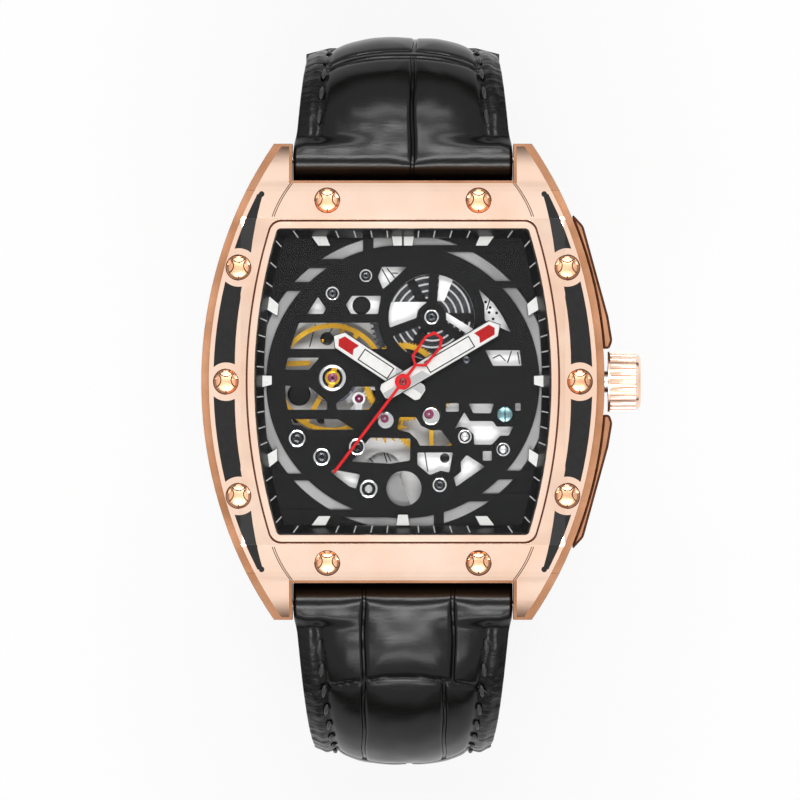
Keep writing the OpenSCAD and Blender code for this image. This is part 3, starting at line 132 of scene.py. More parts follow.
roseGold = polishedMetal("polishedRoseGold", "#fde0cc", "#fad5bd", (0.12, 0.18))  # rose gold plate, buffed
shadedFlankGold = polishedMetal("satinRoseGoldShaded", "#bb8a6b", "#a87757", (0.22, 0.28))  # satin case sides and crown guards, darker than the bezel's gold: painted shade
screwGold = polishedMetal("stampedRoseGold", "#e8b795", "#d9a27e", (0.26, 0.36))  # screws, tumbled
paintedGrooveShade = lacquer("paintedShadeLacquer", "#5a3120", "#45230f", 0.6, 0.002, 1500, level=0.15)  # dark brown paint in fine grooves, gaps, creases and chamfers: painted shade
brushedSteel = polishedMetal("brushedSteel", "#dfe1e3", "#cdd0d3", (0.24, 0.4), (1, 9, 1))  # rhodium-plated brass
mirrorSteel = polishedMetal("polishedSteel", "#f2f3f4", "#dcdee0", (0.08, 0.14))  # bevelled and lapped steel
ringSteel = polishedMetal("brushedGreyRing", "#8a8a8a", "#6c6c6c", (0.34, 0.48), (1, 7, 1))  # grey nickel
giltBrass = polishedMetal("giltBrass", "#f3c64c", "#e0a62c", (0.16, 0.28), (4, 4, 1))  # gilt wheels, circular polish
bluedSteel = polishedMetal("bluedSteel", "#3a5aa8", "#24407c", (0.12, 0.2))  # heat-blued screws and spring
springSteel = polishedMetal("springSteel", "#56585c", "#2e3033", (0.2, 0.34), (1, 1, 14))  # coiled spring strip
blackDial = lacquer("blackDialLacquer", "#181819", "#131314", 0.5, 0.002, 900, level=0.09)  # galvanic black, matt
blackGloss = lacquer("blackGlossLacquer", "#0e0e0e", "#090909", 0.2, 0.001, 900, level=0.3)
blackRecess = lacquer("blackRecessLacquer", "#0e0e0f", "#09090a", 0.28, 0.002, 900, level=0.14)
flangeBlack = lacquer("satinBlackFlange", "#111112", "#0b0b0c", 0.36, 0.002, 900, level=0.5)
insertGrey = lacquer("satinGreyInsert", "#202020", "#1a1a1a", 0.3, 0.003, 1500, level=0.3)
whiteLume = lacquer("whiteLume", "#fbfbf9", "#f2f2ef", 0.5, 0.004, 2200)  # luminous paint, chalky
redLacquer = lacquer("redLacquer", "#f00a14", "#e0060e", 0.4, 0.001, 900, level=0.25)
redInlay = lacquer("redInlay", "#cc0204", "#b80002", 0.5, 0.002, 1600, level=0.2)
blackRubber = lacquer("blackRubber", "#1a1a1a", "#131313", 0.65, 0.004, 1800)
whiteGasket = lacquer("whiteGasket", "#f2f2f2", "#e8e8e8", 0.5, 0.002, 1500)
blueScrew = polishedMetal("blueGreySteel", "#86a8ae", "#6d8f95", (0.2, 0.3), (1, 9, 1))  # oxidised screw head
edgePaint = lacquer("edgePaint", "#0d0d0d", "#080808", 0.5, 0.01, 700)  # burnished edge of the strap


def plateSilver():
    # rhodium plate with broad polishing stripes and fine grain
    material, tree, shader = newMaterial("stripedSilverPlate", {"Metallic": 0.45, "Roughness": 0.3})
    stripeMm, stripeTurn, wavesPerUnit = 2.2, 24, 6.28  # the texture has this many waves to a unit at scale 1
    place = addNode(tree, "TexCoord")
    turn = addNode(tree, "Mapping", {"Rotation": (0, 0, radians(stripeTurn)), "Scale": (1, 1, 0.001)},
                   {"Vector": place.outputs["Object"]})
    stripes = addNode(tree, "TexWave",
                      {"Scale": 1000 / stripeMm / wavesPerUnit, "Distortion": 0.2, "Detail": 1},
                      {"Vector": turn.outputs[0]}, wave_profile="SAW")
    grain = objectPattern(tree, 1500, (1, 7, 1), 4)
    twoTone(tree, shader, grain, "#eeeeee", "#f9f9f9")
    twoTone(tree, shader, grain, 0.3, 0.42, 0.3, 0.7, "Roughness")
    bumpFrom(tree, shader, maths(tree, "ADD", stripes.outputs["Fac"], grain), 0.006)
    return material


def syntheticRuby():
    # deep pink corundum, lapped to a mirror
    material, tree, shader = newMaterial(
        "syntheticRuby", {"Roughness": 0.06, "IOR": 1.76, "Transmission Weight": 0.25, "Coat Weight": 0.6})
    twoTone(tree, shader, objectPattern(tree, 1800), "#c0407c", "#8e2c58")
    return material


def coatedSapphire():
    # clear, with an anti-glare coat, so little of the room shows in it
    material, tree, shader = newMaterial("coatedSapphire", {"Roughness": 0.02, "IOR": 1.77, "Alpha": 0.06})
    twoTone(tree, shader, objectPattern(tree, 60), "#0d1216", "#11171c")
    material.surface_render_method = "BLENDED"
    return material


def strapLeather():
    # glazed calf with pressed square scales: its UV map is in centimetres across and along the strap
    material, tree, shader = newMaterial("glazedScaleLeather", {"IOR": 1.5, "Specular IOR Level": 0.24})
    uv = addNode(tree, "TexCoord").outputs["UV"]
    split = addNode(tree, "SeparateXYZ", links={"Vector": uv})

    def clouds(vector, scale, detail, roughness=0.5):
        return addNode(tree, "TexNoise", {"Scale": scale, "Detail": detail, "Roughness": roughness},
                       {"Vector": vector}).outputs

    def stretched(across, along, detail, roughness):
        place = addNode(tree, "Mapping", {"Scale": (across, along, 1)}, {"Vector": bent.outputs[0]})
        return clouds(place.outputs[0], 1, detail, roughness)[0]

    def eased(value, start, end, low, high):
        limits = {"From Min": start, "From Max": end, "To Min": low, "To Max": high}
        return addNode(tree, "MapRange", limits, {"Value": value}, interpolation_type="SMOOTHSTEP").outputs[0]

    bent = addNode(tree, "MixRGB", {"Fac": 0.08}, {"Color1": uv, "Color2": clouds(uv, 3, 3)["Color"]})
    flank = eased(maths(tree, "ABSOLUTE", split.outputs[0]), 0.7, 0.84, 0, 1)  # wrinkled strips beside the padding
    away = eased(split.outputs[1], 0.12, 0.35, 0, 1)  # the roll at the case stays smooth
    creases = stretched(7, 60, 5, 0.65)  # hair creases across the strap
    gap = addNode(tree, "Attribute", attribute_name="scaleGap").outputs["Fac"]
    height = maths(tree, "MULTIPLY", stretched(5, 26, 4, 0.6), maths(tree, "MULTIPLY", flank, away))
    for source, share in ((creases, 0.07), (clouds(uv, 90, 3)[0], 0.03),  # creases, pores
                          (eased(gap, 0.1, 0.26, 1, 0), -0.9)):  # the line in each groove
        height = maths(tree, "ADD", height, maths(tree, "MULTIPLY", source, share))
    twoTone(tree, shader, creases, "#040404", "#090909", 0.3, 0.75)
    twoTone(tree, shader, creases, 0.19, 0.23, 0.3, 0.7, "Roughness")
    bumpFrom(tree, shader, height, 0.11, 0.9)
    return material


def liningLeather():
    # unglazed calf with a fine pebble
    material, tree, shader = newMaterial("plainCalfLining", {"Roughness": 0.62})
    place = addNode(tree, "TexCoord").outputs["Object"]
    pebble = addNode(tree, "TexVoronoi", {"Scale": 2200}, {"Vector": place}, feature="SMOOTH_F1")
    twoTone(tree, shader, objectPattern(tree, 300), "#1c1916", "#2a2521")
    bumpFrom(tree, shader, pebble.outputs["Distance"], 0.05, 0.7)
    return material


def waxedThread():
    # waxed black thread with a tight twist
    material, tree, shader = newMaterial("waxedThread", {"Roughness": 0.5, "Sheen Weight": 0.2})
    twist = objectPattern(tree, 3000, (3, 1, 1))
    twoTone(tree, shader, twist, "#0a0a0a", "#2a2a2a")
    bumpFrom(tree, shader, twist, 0.03)
    return material


silverPlate = plateSilver()
frostedSilver = polishedMetal("frostedSilver", "#fbfbfb", "#ececec", (0.34, 0.46), (1, 7, 1), metallic=0.3)  # grained
ruby = syntheticRuby()
sapphire = coatedSapphire()
leather = strapLeather()
lining = liningLeather()
thread = waxedThread()
print("materials made")


# Shared making steps

sameSpot = 1e-7  # metres

def newObject(name, bm):
    mesh = bpy.data.meshes.new(name)
    bm.to_mesh(mesh)
    bm.free()
    made = bpy.data.objects.new(name, mesh)
    scene.collection.objects.link(made)
    return made, mesh


def finishPiece(bm, name, materials, slot, replaced=(), body="case", sharp=35, merge=True):
    if merge:
        bmesh.ops.remove_doubles(bm, verts=bm.verts, dist=sameSpot)
    bmesh.ops.recalc_face_normals(bm, faces=bm.faces)
    piece, mesh = newObject(name, bm)
    for face in mesh.polygons:
        face.use_smooth = True
    for material in materials if isinstance(materials, (list, tuple)) else [materials]:
        mesh.materials.append(material)
    mesh.set_sharp_from_angle(angle=radians(sharp))
    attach(piece, body)
    if replaced:
        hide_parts(*replaced)
    return piece


def softEdges(piece, width, segments=2, angle=28):
    # breaks the edges sharper than the angle
    bevel = piece.modifiers.new("softEdges", "BEVEL")
    bevel.width = width * mm
    bevel.segments = segments
    bevel.limit_method = "ANGLE"
    bevel.angle_limit = radians(angle)
    shade = piece.modifiers.new("evenShade", "WEIGHTED_NORMAL")
    shade.keep_sharp = True
    return piece


def meshOfNode(name):
    bm = bmesh.new()
    bm.from_mesh(frame["nodes"][name].data)
    bmesh.ops.remove_doubles(bm, verts=bm.verts, dist=2e-6)
    bmesh.ops.dissolve_limit(bm, angle_limit=radians(1.5), verts=bm.verts, edges=bm.edges)
    return bm


def bodyOf(name):
    return next(b for b, names in frame["record"]["behaviour"]["bodies"].items() if name in names)


def slotOf(name):
    return next(p["material_slot"] for p in frame["record"]["subparts"] if p["node"] == name)


def roundWindows(bm, radius, reach, height):
    # the upright edges at the corners of the windows
    edges = []
    for edge in bm.edges:
        a, b = (v.co / mm for v in edge.verts)
        upright = (a.xy - b.xy).length < 1e-3 and abs(a.z - b.z) > height
        if upright and a.xy.length < reach and len(edge.link_faces) == 2 and edge.calc_face_angle() > radians(28):
            edges.append(edge)
    bmesh.ops.bevel(bm, geom=edges, offset=radius * mm, offset_type="OFFSET", segments=4, profile=0.5, affect="EDGES",
                    clamp_overlap=True, material=-1)


def finerNode(name, material, width, segments=2, angle=30, bm=None):
    # the CAD form with broken edges
    piece = finishPiece(bm or meshOfNode(name), name + "_finished", material, slotOf(name), [name], bodyOf(name),
                        sharp=30, merge=False)
    return softEdges(piece, width, segments, angle)


def paintShadeOnChamfer(piece):
    # the chamfer takes the dark brown paint: painted shade along the edge
    piece.data.materials.append(paintedGrooveShade)
    piece.modifiers["softEdges"].material = 1


def paint(name, material):
    data = frame["nodes"][name].data
    data.materials.clear()
    data.materials.append(material)


def spun(bm, profile, at, steps):
    # a profile of radius and height, turned round an upright axis at a place
    part = bmesh.new()
    made = [part.verts.new(Vector((r, 0, z)) * mm) for r, z in profile]
    edges = [part.edges.new(pair) for pair in zip(made, made[1:])]
    bmesh.ops.spin(part, geom=made + edges, cent=(0, 0, 0), axis=(0, 0, 1), angle=2 * pi, steps=steps,
                   use_merge=True)
    bmesh.ops.remove_doubles(part, verts=part.verts, dist=sameSpot)
    bmesh.ops.translate(part, verts=part.verts, vec=Vector(at) * mm)
    mesh = bpy.data.meshes.new("part")
    part.to_mesh(mesh)
    part.free()
    bm.from_mesh(mesh)
    bpy.data.meshes.remove(mesh)


def prism(bm, outline, low, high):
    # an outline raised from one height to another
    face = bm.faces.new([bm.verts.new(Vector((x * mm, y * mm, low * mm))) for x, y in outline])
    up = bmesh.ops.extrude_face_region(bm, geom=[face])
    verts = [v for v in up["geom"] if isinstance(v, bmesh.types.BMVert)]
    bmesh.ops.translate(bm, verts=verts, vec=(0, 0, (high - low) * mm))


def bar(bm, centre, size, turn=0.0, rise=0.0):
    place = Matrix.Translation(Vector(centre) * mm) @ Matrix.Rotation(turn, 4, "Z") @ Matrix.Rotation(rise, 4, "Y")
    bmesh.ops.create_cube(bm, size=1, matrix=place @ Matrix.Diagonal([c * mm for c in size] + [1]))


def cutAcross(bm, at, way, clear=False):
    # new edges where a plane meets the mesh
    bmesh.ops.bisect_plane(bm, geom=bm.verts[:] + bm.edges[:] + bm.faces[:], plane_co=Vector(at) * mm, plane_no=way,
                           clear_outer=clear)


def applyCut(piece, cutter):
    bmesh.ops.recalc_face_normals(cutter, faces=cutter.faces)
    tool = newObject("cutter", cutter)[0]
    cut = piece.modifiers.new("cutter", "BOOLEAN")
    cut.operation = "DIFFERENCE"
    cut.object = tool
    result = bpy.data.meshes.new_from_object(piece.evaluated_get(bpy.context.evaluated_depsgraph_get()))
    piece.modifiers.clear()
    piece.data = result
    bpy.data.objects.remove(tool)


# Case

caseShape = {"openHalfWidth": 14.8, "openHalfHeight": 15.27, "openSide": 52.0, "bezelTop": 10.8,
             "flatX": 16.2, "flatY": 16.3, "fallX": 0.55, "fallY": 0.6053}


def openingShape(gap):
    # the opening's half height, the radius of its sides and where on X the right side's arc has its middle
    return (caseShape["openHalfHeight"] + gap, caseShape["openSide"],
            caseShape["openHalfWidth"] + gap - caseShape["openSide"])


def openingLoop(gap, corner, sideSteps=28, cornerSteps=7, topSteps=14):
    half, radius, middle = openingShape(gap)
    fx = middle + sqrt((radius - corner) ** 2 - (half - corner) ** 2)
    fy = half - corner
    out = atan2(fy, fx - middle)
    side = [(middle + radius * cos(a), radius * sin(a))
            for a in (out * (2 * i / sideSteps - 1) for i in range(sideSteps + 1))]
    bend = [(fx + corner * cos(a), fy + corner * sin(a))
            for a in (out + (pi / 2 - out) * i / cornerSteps for i in range(1, cornerSteps + 1))]
    top = [(fx * (1 - 2 * i / topSteps), half) for i in range(1, topSteps)]
    left = [(-x, y) for x, y in reversed(side + bend)]
    return side + bend + top + left + [(-x, -y) for x, y in bend + top] + [(x, -y) for x, y in reversed(bend)]


def gridAround(bm, loops):
    # a skin over closed loops that have the same number of points
    columns = len(loops[0])
    made = [[bm.verts.new(Vector(p) * mm) for p in loop] for loop in loops]
    for a, b in zip(made, made[1:]):
        for i in range(columns):
            j = (i + 1) % columns
            bm.faces.new((a[i], a[j], b[j], b[i]))


def openingSkin(bm, profile):
    # a profile of gap to the opening, height and corner radius, led round the opening
    gridAround(bm, [[(x, y, z) for x, y in openingLoop(gap, corner)] for gap, z, corner in profile])


def bezelHeight(x, y):
    return caseShape["bezelTop"] - max(caseShape["fallX"] * (abs(x) - caseShape["flatX"]),
                                       caseShape["fallY"] * (abs(y) - caseShape["flatY"]), 0)


# the bezel's slopes are crowned: less steep than the CAD's at the start, steeper at the tips of the lugs
crowned = {"start": 0.83, "strips": 15, "reach": 7.4, "tip": 0.33, "fullX": 4.0, "fullY": 3.6}


def crownedDrop(fall, distance, full):
    # meets the CAD's slope again at the full distance
    distance = max(0, distance)
    if distance > full:
        return fall * distance + crowned["tip"] * ((distance - full) / full) ** 3
    return fall * distance * (crowned["start"] + (1 - crowned["start"]) * distance / full)


def crownedHeight(x, y):
    return caseShape["bezelTop"] - max(crownedDrop(caseShape["fallX"], abs(x) - caseShape["flatX"], crowned["fullX"]),
                                       crownedDrop(caseShape["fallY"], abs(y) - caseShape["flatY"], crowned["fullY"]))


def makeBezel():
    piece = finishPiece(meshOfNode("bezel"), "bezel_finished", roseGold, "rose_gold", ["bezel"], sharp=30, merge=False)
    cutter = bmesh.new()
    openingSkin(cutter, [(lip["cut"], z, lip["corner"]) for z in (lip["seat"], 12)])
    bmesh.ops.holes_fill(cutter, edges=[e for e in cutter.edges if e.is_boundary])
    applyCut(piece, cutter)
    bm = bmesh.new()
    bm.from_mesh(piece.data)
    steps = [crowned["reach"] * (k + 0.5) / crowned["strips"] for k in range(crowned["strips"])]
    for way, start in ((Vector((1, 0, 0)), caseShape["flatX"]), (Vector((0, 1, 0)), caseShape["flatY"])):
        for side in (1, -1):
            for step in steps:
                cutAcross(bm, way * side * (start + step), way)
    for vert in bm.verts:
        x, y, z = vert.co / mm
        if abs(z - bezelHeight(x, y)) < 0.02:  # on the top
            vert.co.z = crownedHeight(x, y) * mm
    bm.to_mesh(piece.data)
    bm.free()
    for face in piece.data.polygons:
        face.use_smooth = True
    piece.data.set_sharp_from_angle(angle=radians(20))  # the flat meets its slopes at a crisp line
    softEdges(piece, 0.2, 3, 40)


# the lip round the crystal: its profile from the groove inward, as gap to the opening and height
lip = {"profile": [(0.93, 10.81), (0.9, 10.62), (0.76, 10.6), (0.74, 10.74), (0.71, 10.79), (0.65, 10.79),
                   (0.12, 10.52), (0.05, 10.47), (0.01, 10.4), (0.0, 10.26)],
       "corner": 1.3, "innerCorner": 0.45, "fullCorner": 0.75, "cut": 0.9, "seat": 10.27, "grooveFloor": 10.61}


def makeLip():
    bm = bmesh.new()
    inner, widening = lip["innerCorner"], lip["corner"] - lip["innerCorner"]
    openingSkin(bm, [(gap, z, inner + widening * min(1, gap / lip["fullCorner"])) for gap, z in lip["profile"]])
    # the groove's floor takes the dark brown paint: painted shade in the groove
    for face in bm.faces:
        onFloor = all(abs(v.co.z / mm - lip["grooveFloor"]) < 0.02 for v in face.verts)
        face.material_index = 1 if onFloor else 0
    finishPiece(bm, "bezel_lip", [roseGold, paintedGrooveShade], "rose_gold", sharp=20)


def rod(bm, a, b, wide, tall, more=0.0):
    # a bar from one point to another
    way = b - a
    bar(bm, (a + b) / 2, (way.length + more, wide, tall), atan2(way.y, way.x), -atan2(way.z, way.xy.length))


# double creases from the corners of the lip to the lugs, as thin dark brown ribs: painted shade in the creases
creases = {"start": (12.85, 16.5), "end": (11.05, 19.85), "apart": 0.2, "wide": 0.075, "steps": 8, "bow": 0.18,
           "lift": 0.004, "thick": 0.04, "overlap": 0.03}


def makeCreases():
    bm = bmesh.new()
    start, end = Vector(creases["start"]), Vector(creases["end"])
    for sx, sy, shift in itertools.product((-1, 1), (-1, 1), (0, creases["apart"])):
        points = []
        for k in range(creases["steps"] + 1):
            t = k / creases["steps"]
            x, y = start.lerp(end, t)
            x += shift + creases["bow"] * 4 * t * (1 - t)
            points.append(Vector((sx * x, sy * y, crownedHeight(x, y) + creases["lift"])))
        for a, b in zip(points, points[1:]):
            rod(bm, a, b, creases["wide"], creases["thick"], creases["overlap"])
    finishPiece(bm, "bezel_creases", paintedGrooveShade, "rose_gold", merge=False)


bezelScrews = {"places": [*itertools.product((-7.56, 7.56), (-18.1, 18.1)),
                          *itertools.product((-16.4, 16.4), (-11.4, 11.4)), (-17.67, 0), (17.67, 0)],
               "ring": (1.2, 1.31), "head": 1.12, "scallops": (90, 172, 8), "scallopAt": 1.3, "scallopRadius": 0.78,
               "scallopSteps": 9, "stepDegrees": 7, "notch": (1.1, 0.98, 0.86), "line": 0.055, "lift": 0.012}


def scallop(degrees):
    # an arc about a point outside the head, as far as it lies on the head
    a = radians(degrees)
    turns = (a + pi + radians(bezelScrews["stepDegrees"] * k)
             for k in range(-bezelScrews["scallopSteps"], bezelScrews["scallopSteps"] + 1))
    far, radius = bezelScrews["scallopAt"], bezelScrews["scallopRadius"]
    arc = [Vector((far * cos(a) + radius * cos(t), far * sin(a) + radius * sin(t))) for t in turns]
    return [point for point in arc if point.length < bezelScrews["head"]]


def makeScrewDetail():
    tree = BVHTree.FromBMesh(meshOfNode("bezel_screws"))
    # a dark brown ring in the gap round each head and dark brown lines along its scallops and notch: painted shade
    rings, lines = bmesh.new(), bmesh.new()
    inner, outer = bezelScrews["ring"]
    paths = [scallop(angle) for angle in bezelScrews["scallops"]] + [[Vector((0, -r)) for r in bezelScrews["notch"]]]
    for x, y in bezelScrews["places"]:
        spun(rings, [(inner, -0.12), (inner, 0.03), (outer, 0.03), (outer, -0.12)], (x, y, crownedHeight(x, y)), 40)
        for path in paths:
            pairs = []
            for k, point in enumerate(path):
                way = (path[min(len(path) - 1, k + 1)] - path[max(0, k - 1)]).normalized() * bezelScrews["line"]
                pair = []
                for wx, wy in ((-way.y, way.x), (way.y, -way.x)):
                    spot = Vector((x + point.x + wx, y + point.y + wy, 13)) * mm
                    hit = tree.ray_cast(spot, Vector((0, 0, -1)))[0]
                    if hit:
                        pair.append(lines.verts.new(hit + Vector((0, 0, bezelScrews["lift"] * mm))))
                if len(pair) == 2:
                    pairs.append(pair)
            for a, b in zip(pairs, pairs[1:]):
                lines.faces.new((a[0], a[1], b[1], b[0]))
    finishPiece(rings, "screw_rings", paintedGrooveShade, "rose_gold")
    finishPiece(lines, "screw_scallops", paintedGrooveShade, "rose_gold")


makeBezel()
makeLip()
makeCreases()
makeScrewDetail()
paintShadeOnChamfer(finerNode("case_middle", shadedFlankGold, 0.36, 3, 25))
finerNode("bezel_screws", screwGold, 0.07)
finerNode("side_inserts", insertGrey, 0.25, 3)
paintShadeOnChamfer(finerNode("crown_guards", shadedFlankGold, 0.3, 3, 25))
finerNode("crown", roseGold, 0.05)
finerNode("case_back", roseGold, 0.08)
finerNode("case_back_screws", mirrorSteel, 0.03)
for name in ("crown_tube", "spring_bar_12", "spring_bar_6", "winding_stem"):
    paint(name, brushedSteel)
for name, material in {"case_back_glass": sapphire, "crystal": sapphire, "crystal_gasket": whiteGasket,
                       "case_back_gasket": blackRubber, "crown_gasket": blackRubber}.items():
    paint(name, material)
print("case made")


# Dial, flange and hour blocks

flangeSlope = [(-0.02, 9.2, 0.45), (-0.1, 9.2, 0.42), (-0.8, 7.6, 0.3), (-0.88, 7.25, 0.3), (-0.88, 7.21, 0.3)]
ticks = {"width": 0.12, "thick": 0.05, "outer": (-0.2, 9.02), "inner": (-0.82, 7.66)}  # gap to the opening, height


def makeFlange():
    bm = bmesh.new()
    openingSkin(bm, flangeSlope)
    finishPiece(bm, "flange_slope", flangeBlack, "black_plate", ["minute_flange"], sharp=25)


def rayTo(gap, angle):
    # how far it is from the centre to the opening's edge
    half, radius, middle = openingShape(gap)
    dx, dy = abs(cos(angle)), abs(sin(angle))
    side = middle * dx + sqrt(radius ** 2 - (middle * dy) ** 2)
    return min(side, half / max(dy, 1e-6))


def makeTicks():
    bm = bmesh.new()
    for minute in range(60):
        if minute % 5:
            angle = radians(90 - 6 * minute)
            ends = []
            for gap, z in (ticks["inner"], ticks["outer"]):
                r = rayTo(gap, angle)
                ends.append(Vector((r * cos(angle), r * sin(angle), z)))
            rod(bm, *ends, ticks["width"], ticks["thick"])
    finishPiece(bm, "flange_ticks", whiteLume, "white_paint", ["minute_ticks"])


hourBlocks = {
    "right": [
        [(0.07, 13.6), (0.98, 13.6), (1.13, 14.65), (0.07, 14.65)],
        [(7.24, 13.6), (8.48, 13.6), (9.22, 14.63), (7.68, 14.63)],
        [(12.41, 7.77), (13.39, 8.59), (13.6, 7.19), (12.55, 6.56)],
        [(12.59, -6.66), (13.65, -7.3), (13.5, -8.7), (12.55, -7.93)],
        [(13.1, 0.6), (14.26, 0.67), (14.26, -0.62), (13.1, -0.3)],
        [(7.2, -13.43), (8.46, -13.43), (9.2, -14.4), (7.72, -14.4)],
    ],
    "six": [(-0.5, -13.28), (0.5, -13.28), (0.7, -14.41), (-0.7, -14.41)],
    "low": 7.2, "high": 7.72, "rim": 0.06,
}


def makeBlocks():
    bm = bmesh.new()
    right = hourBlocks["right"]
    outlines = right + [[(-x, y) for x, y in reversed(outline)] for outline in right] + [hourBlocks["six"]]
    for outline in outlines:
        prism(bm, outline, hourBlocks["low"], hourBlocks["high"])
    # black sides under the white tops: painted shade on the blocks' sides
    finishPiece(bm, "hour_block_sides", blackGloss, "black_plate", ["hour_markers"])
    tops = bmesh.new()
    for outline in outlines:
        middle = [sum(p[k] for p in outline) / len(outline) for k in (0, 1)]
        inner = [[c + (m - c) * hourBlocks["rim"] for c, m in zip(p, middle)] for p in outline]
        prism(tops, inner, hourBlocks["high"] - 0.02, hourBlocks["high"] + 0.03)
    finishPiece(tops, "hour_blocks", whiteLume, "white_paint")


dialScrews = [  # x, y, radius, kind
    (-7.06, 8.85, 0.7, "hole"), (-3.71, 10.63, 0.66, "hole"), (-10.6, -5.68, 0.87, "slot"),
    (-8.13, -7.53, 0.88, "star"), (-4.59, -6.52, 0.85, "star"), (-3.43, -10.73, 0.93, "bright"),
    (3.68, -10.34, 0.74, "slot"), (6.21, -5.49, 0.72, "dome"), (10.05, -6.79, 0.7, "dome"),
    (10.23, -3.28, 0.84, "blue"), (6.37, 2.21, 0.45, "small"), (2.87, 6.49, 0.76, "barrel"),
]
dialTop, barrelRise = 7.2, 0.16
# profiles of the screws, as shares of the radius and heights over the dial
screwRing = [(0.74, 0.02), (0.76, 0.14), (0.84, 0.18), (0.95, 0.16), (1, 0.08), (1, -0.02)]
screwDomes = {"dome": [(0, 0.2), (0.3, 0.18), (0.5, 0.12), (0.62, 0), (0.62, -0.05)],
              "bright": [(0, 0.24), (0.35, 0.22), (0.44, 0.14), (0.48, 0), (0.48, -0.05)],
              "blue": [(0, 0.2), (0.8, 0.2), (0.93, 0.16), (1, 0.06), (1, -0.05)]}
# a black disc under each ring: painted shade
screwShadeFloor = [(0, -0.01), (0.74, 0.01), (0.76, -0.03)]


def makeDialScrews():
    rings, hearts, blues, cuts = (bmesh.new() for _ in range(4))
    for x, y, r, kind in dialScrews:
        top = dialTop + (barrelRise if kind == "barrel" else 0)

        def turnedUp(bm, profile, steps):
            spun(bm, [(share * r, z) for share, z in profile], (x, y, top), steps)

        if kind not in ("blue", "small"):
            turnedUp(rings, screwRing, 32)
            turnedUp(cuts, screwShadeFloor, 28)
        if kind in screwDomes:
            turnedUp(blues if kind == "blue" else rings, screwDomes[kind], 36 if kind == "blue" else 28)
        else:
            wide = 0.95 if kind == "small" else 0.55
            turnedUp(hearts, [(0.2, -0.02), (0.24, 0.06), (wide * 0.8, 0.09), (wide, 0.03), (wide, -0.1)], 24)
        if kind == "blue":
            bar(cuts, (x, y, top + 0.195), (r * 1.9, r * 0.14, 0.04), pi / 2)
        elif kind in ("slot", "barrel"):
            bar(cuts, (x, y, top + 0.08), (r, r * 0.14, 0.04), radians(37 * x))
        elif kind == "star":
            for k in range(3):
                bar(cuts, (x, y, top + 0.09), (r * 0.62, r * 0.12, 0.04), radians(60 * k + 20))
    finishPiece(rings, "screw_ring_steel", mirrorSteel, "steel", ["dial_screws"], sharp=40)
    finishPiece(hearts, "screw_hearts", springSteel, "steel", sharp=40)
    finishPiece(blues, "screw_blue", blueScrew, "steel", sharp=40)
    # black slots and floors: painted shade in the slots and under the rings
    finishPiece(cuts, "screw_slots", blackGloss, "black_plate")


# the balance's jewel in its setting on two arms, two jewels sunk in white discs, and the plain one in a bar
jewelPlaces = {
    "balance": (-7.05, 0.39), "balanceRing": (1.33, 0.3), "balanceStone": 0.5, "ringAt": 7.12, "dial": 7.0,
    "arm": [(0.36, 0.6), (0.6, 1.16), (0.02, 1.2), (-0.2, 0.62)],
    # x, y, radius of the disc, the stone's place from its middle, and the stone's radius
    "discs": [(2.82, -3.46, 0.97, -0.21, 0.21, 0.48), (-1.72, -3.88, 0.86, -0.11, 0.18, 0.42)],
    "lone": (-4.4, -1.69, 5.62), "loneStone": 0.43,
}


def makeJewels():
    stones, rings, settings, shade = (bmesh.new() for _ in range(4))
    places = jewelPlaces

    def stone(r, at):
        spun(stones, [(r * 0.22, -0.02), (r * 0.26, 0.06), (r * 0.7, 0.16), (r, 0.06), (r, -0.15)], at, 28)

    x, y = places["balance"]
    r, w = places["balanceRing"]
    spun(rings, [(r - w, 0), (r - w, 0.1), (r - w * 0.7, 0.15), (r - w * 0.3, 0.15), (r, 0.08), (r, -0.05)],
         (x, y, places["ringAt"]), 48)
    spun(shade, [(0, 0), (1.06, 0.02), (1.06, -0.05)], (x, y, places["dial"]), 40)
    stone(places["balanceStone"], (x, y, places["ringAt"] + 0.06))
    spun(settings, [(0.5, -0.1), (0.5, 0.12), (0.62, 0.16), (0.74, 0.1), (0.74, -0.1)], (x, y, places["ringAt"]), 32)
    for side in (-1, 1):
        arm = [(x + side * px, y + side * py) for px, py in places["arm"]]
        prism(settings, arm, places["dial"], places["dial"] + 0.22)
    for x, y, r, dx, dy, inner in places["discs"]:
        spun(rings, [(0, 0.0), (r * 0.8, 0.02), (r * 0.95, 0.0), (r, -0.05)], (x, y, places["dial"]), 40)
        stone(inner, (x + dx, y + dy, places["dial"] + 0.05))
    stone(places["loneStone"], places["lone"])
    finishPiece(rings, "jewel_rings", mirrorSteel, "steel", sharp=40)
    finishPiece(shade, "jewel_shade", blackGloss, "black_plate", sharp=40)
    finishPiece(stones, "ruby_stones", ruby, "ruby", ["jewels"], sharp=60)
    finishPiece(settings, "gold_settings", giltBrass, "gilt_brass", ["jewel_settings"], sharp=40)


makeFlange()
makeTicks()
makeBlocks()
makeDialScrews()
makeJewels()
openWork = meshOfNode("dial_plate")
roundWindows(openWork, 0.3, 12.9, 0.3)
finerNode("dial_plate", blackDial, 0.05, bm=openWork)
finerNode("dial_ring", ringSteel, 0.05)
finerNode("dial_base", blackRecess, 0.05)
finerNode("main_plate", silverPlate, 0.04)
print("dial made")


# Movement

lowerPlate = {"hole": 2.35, "radius": 13.3, "under": 1.765, "top": 1.825}


def makeLowerPlate():
    # the plate over the rotor, so that nothing below the movement shows in the windows
    bm = bmesh.new()
    hole, radius, under, top = lowerPlate.values()
    spun(bm, [(hole, under), (hole, top), (radius, top), (radius, under), (hole, under)], (0, 0, 0), 96)
    finishPiece(bm, "lower_plate", frostedSilver, "steel", sharp=40)
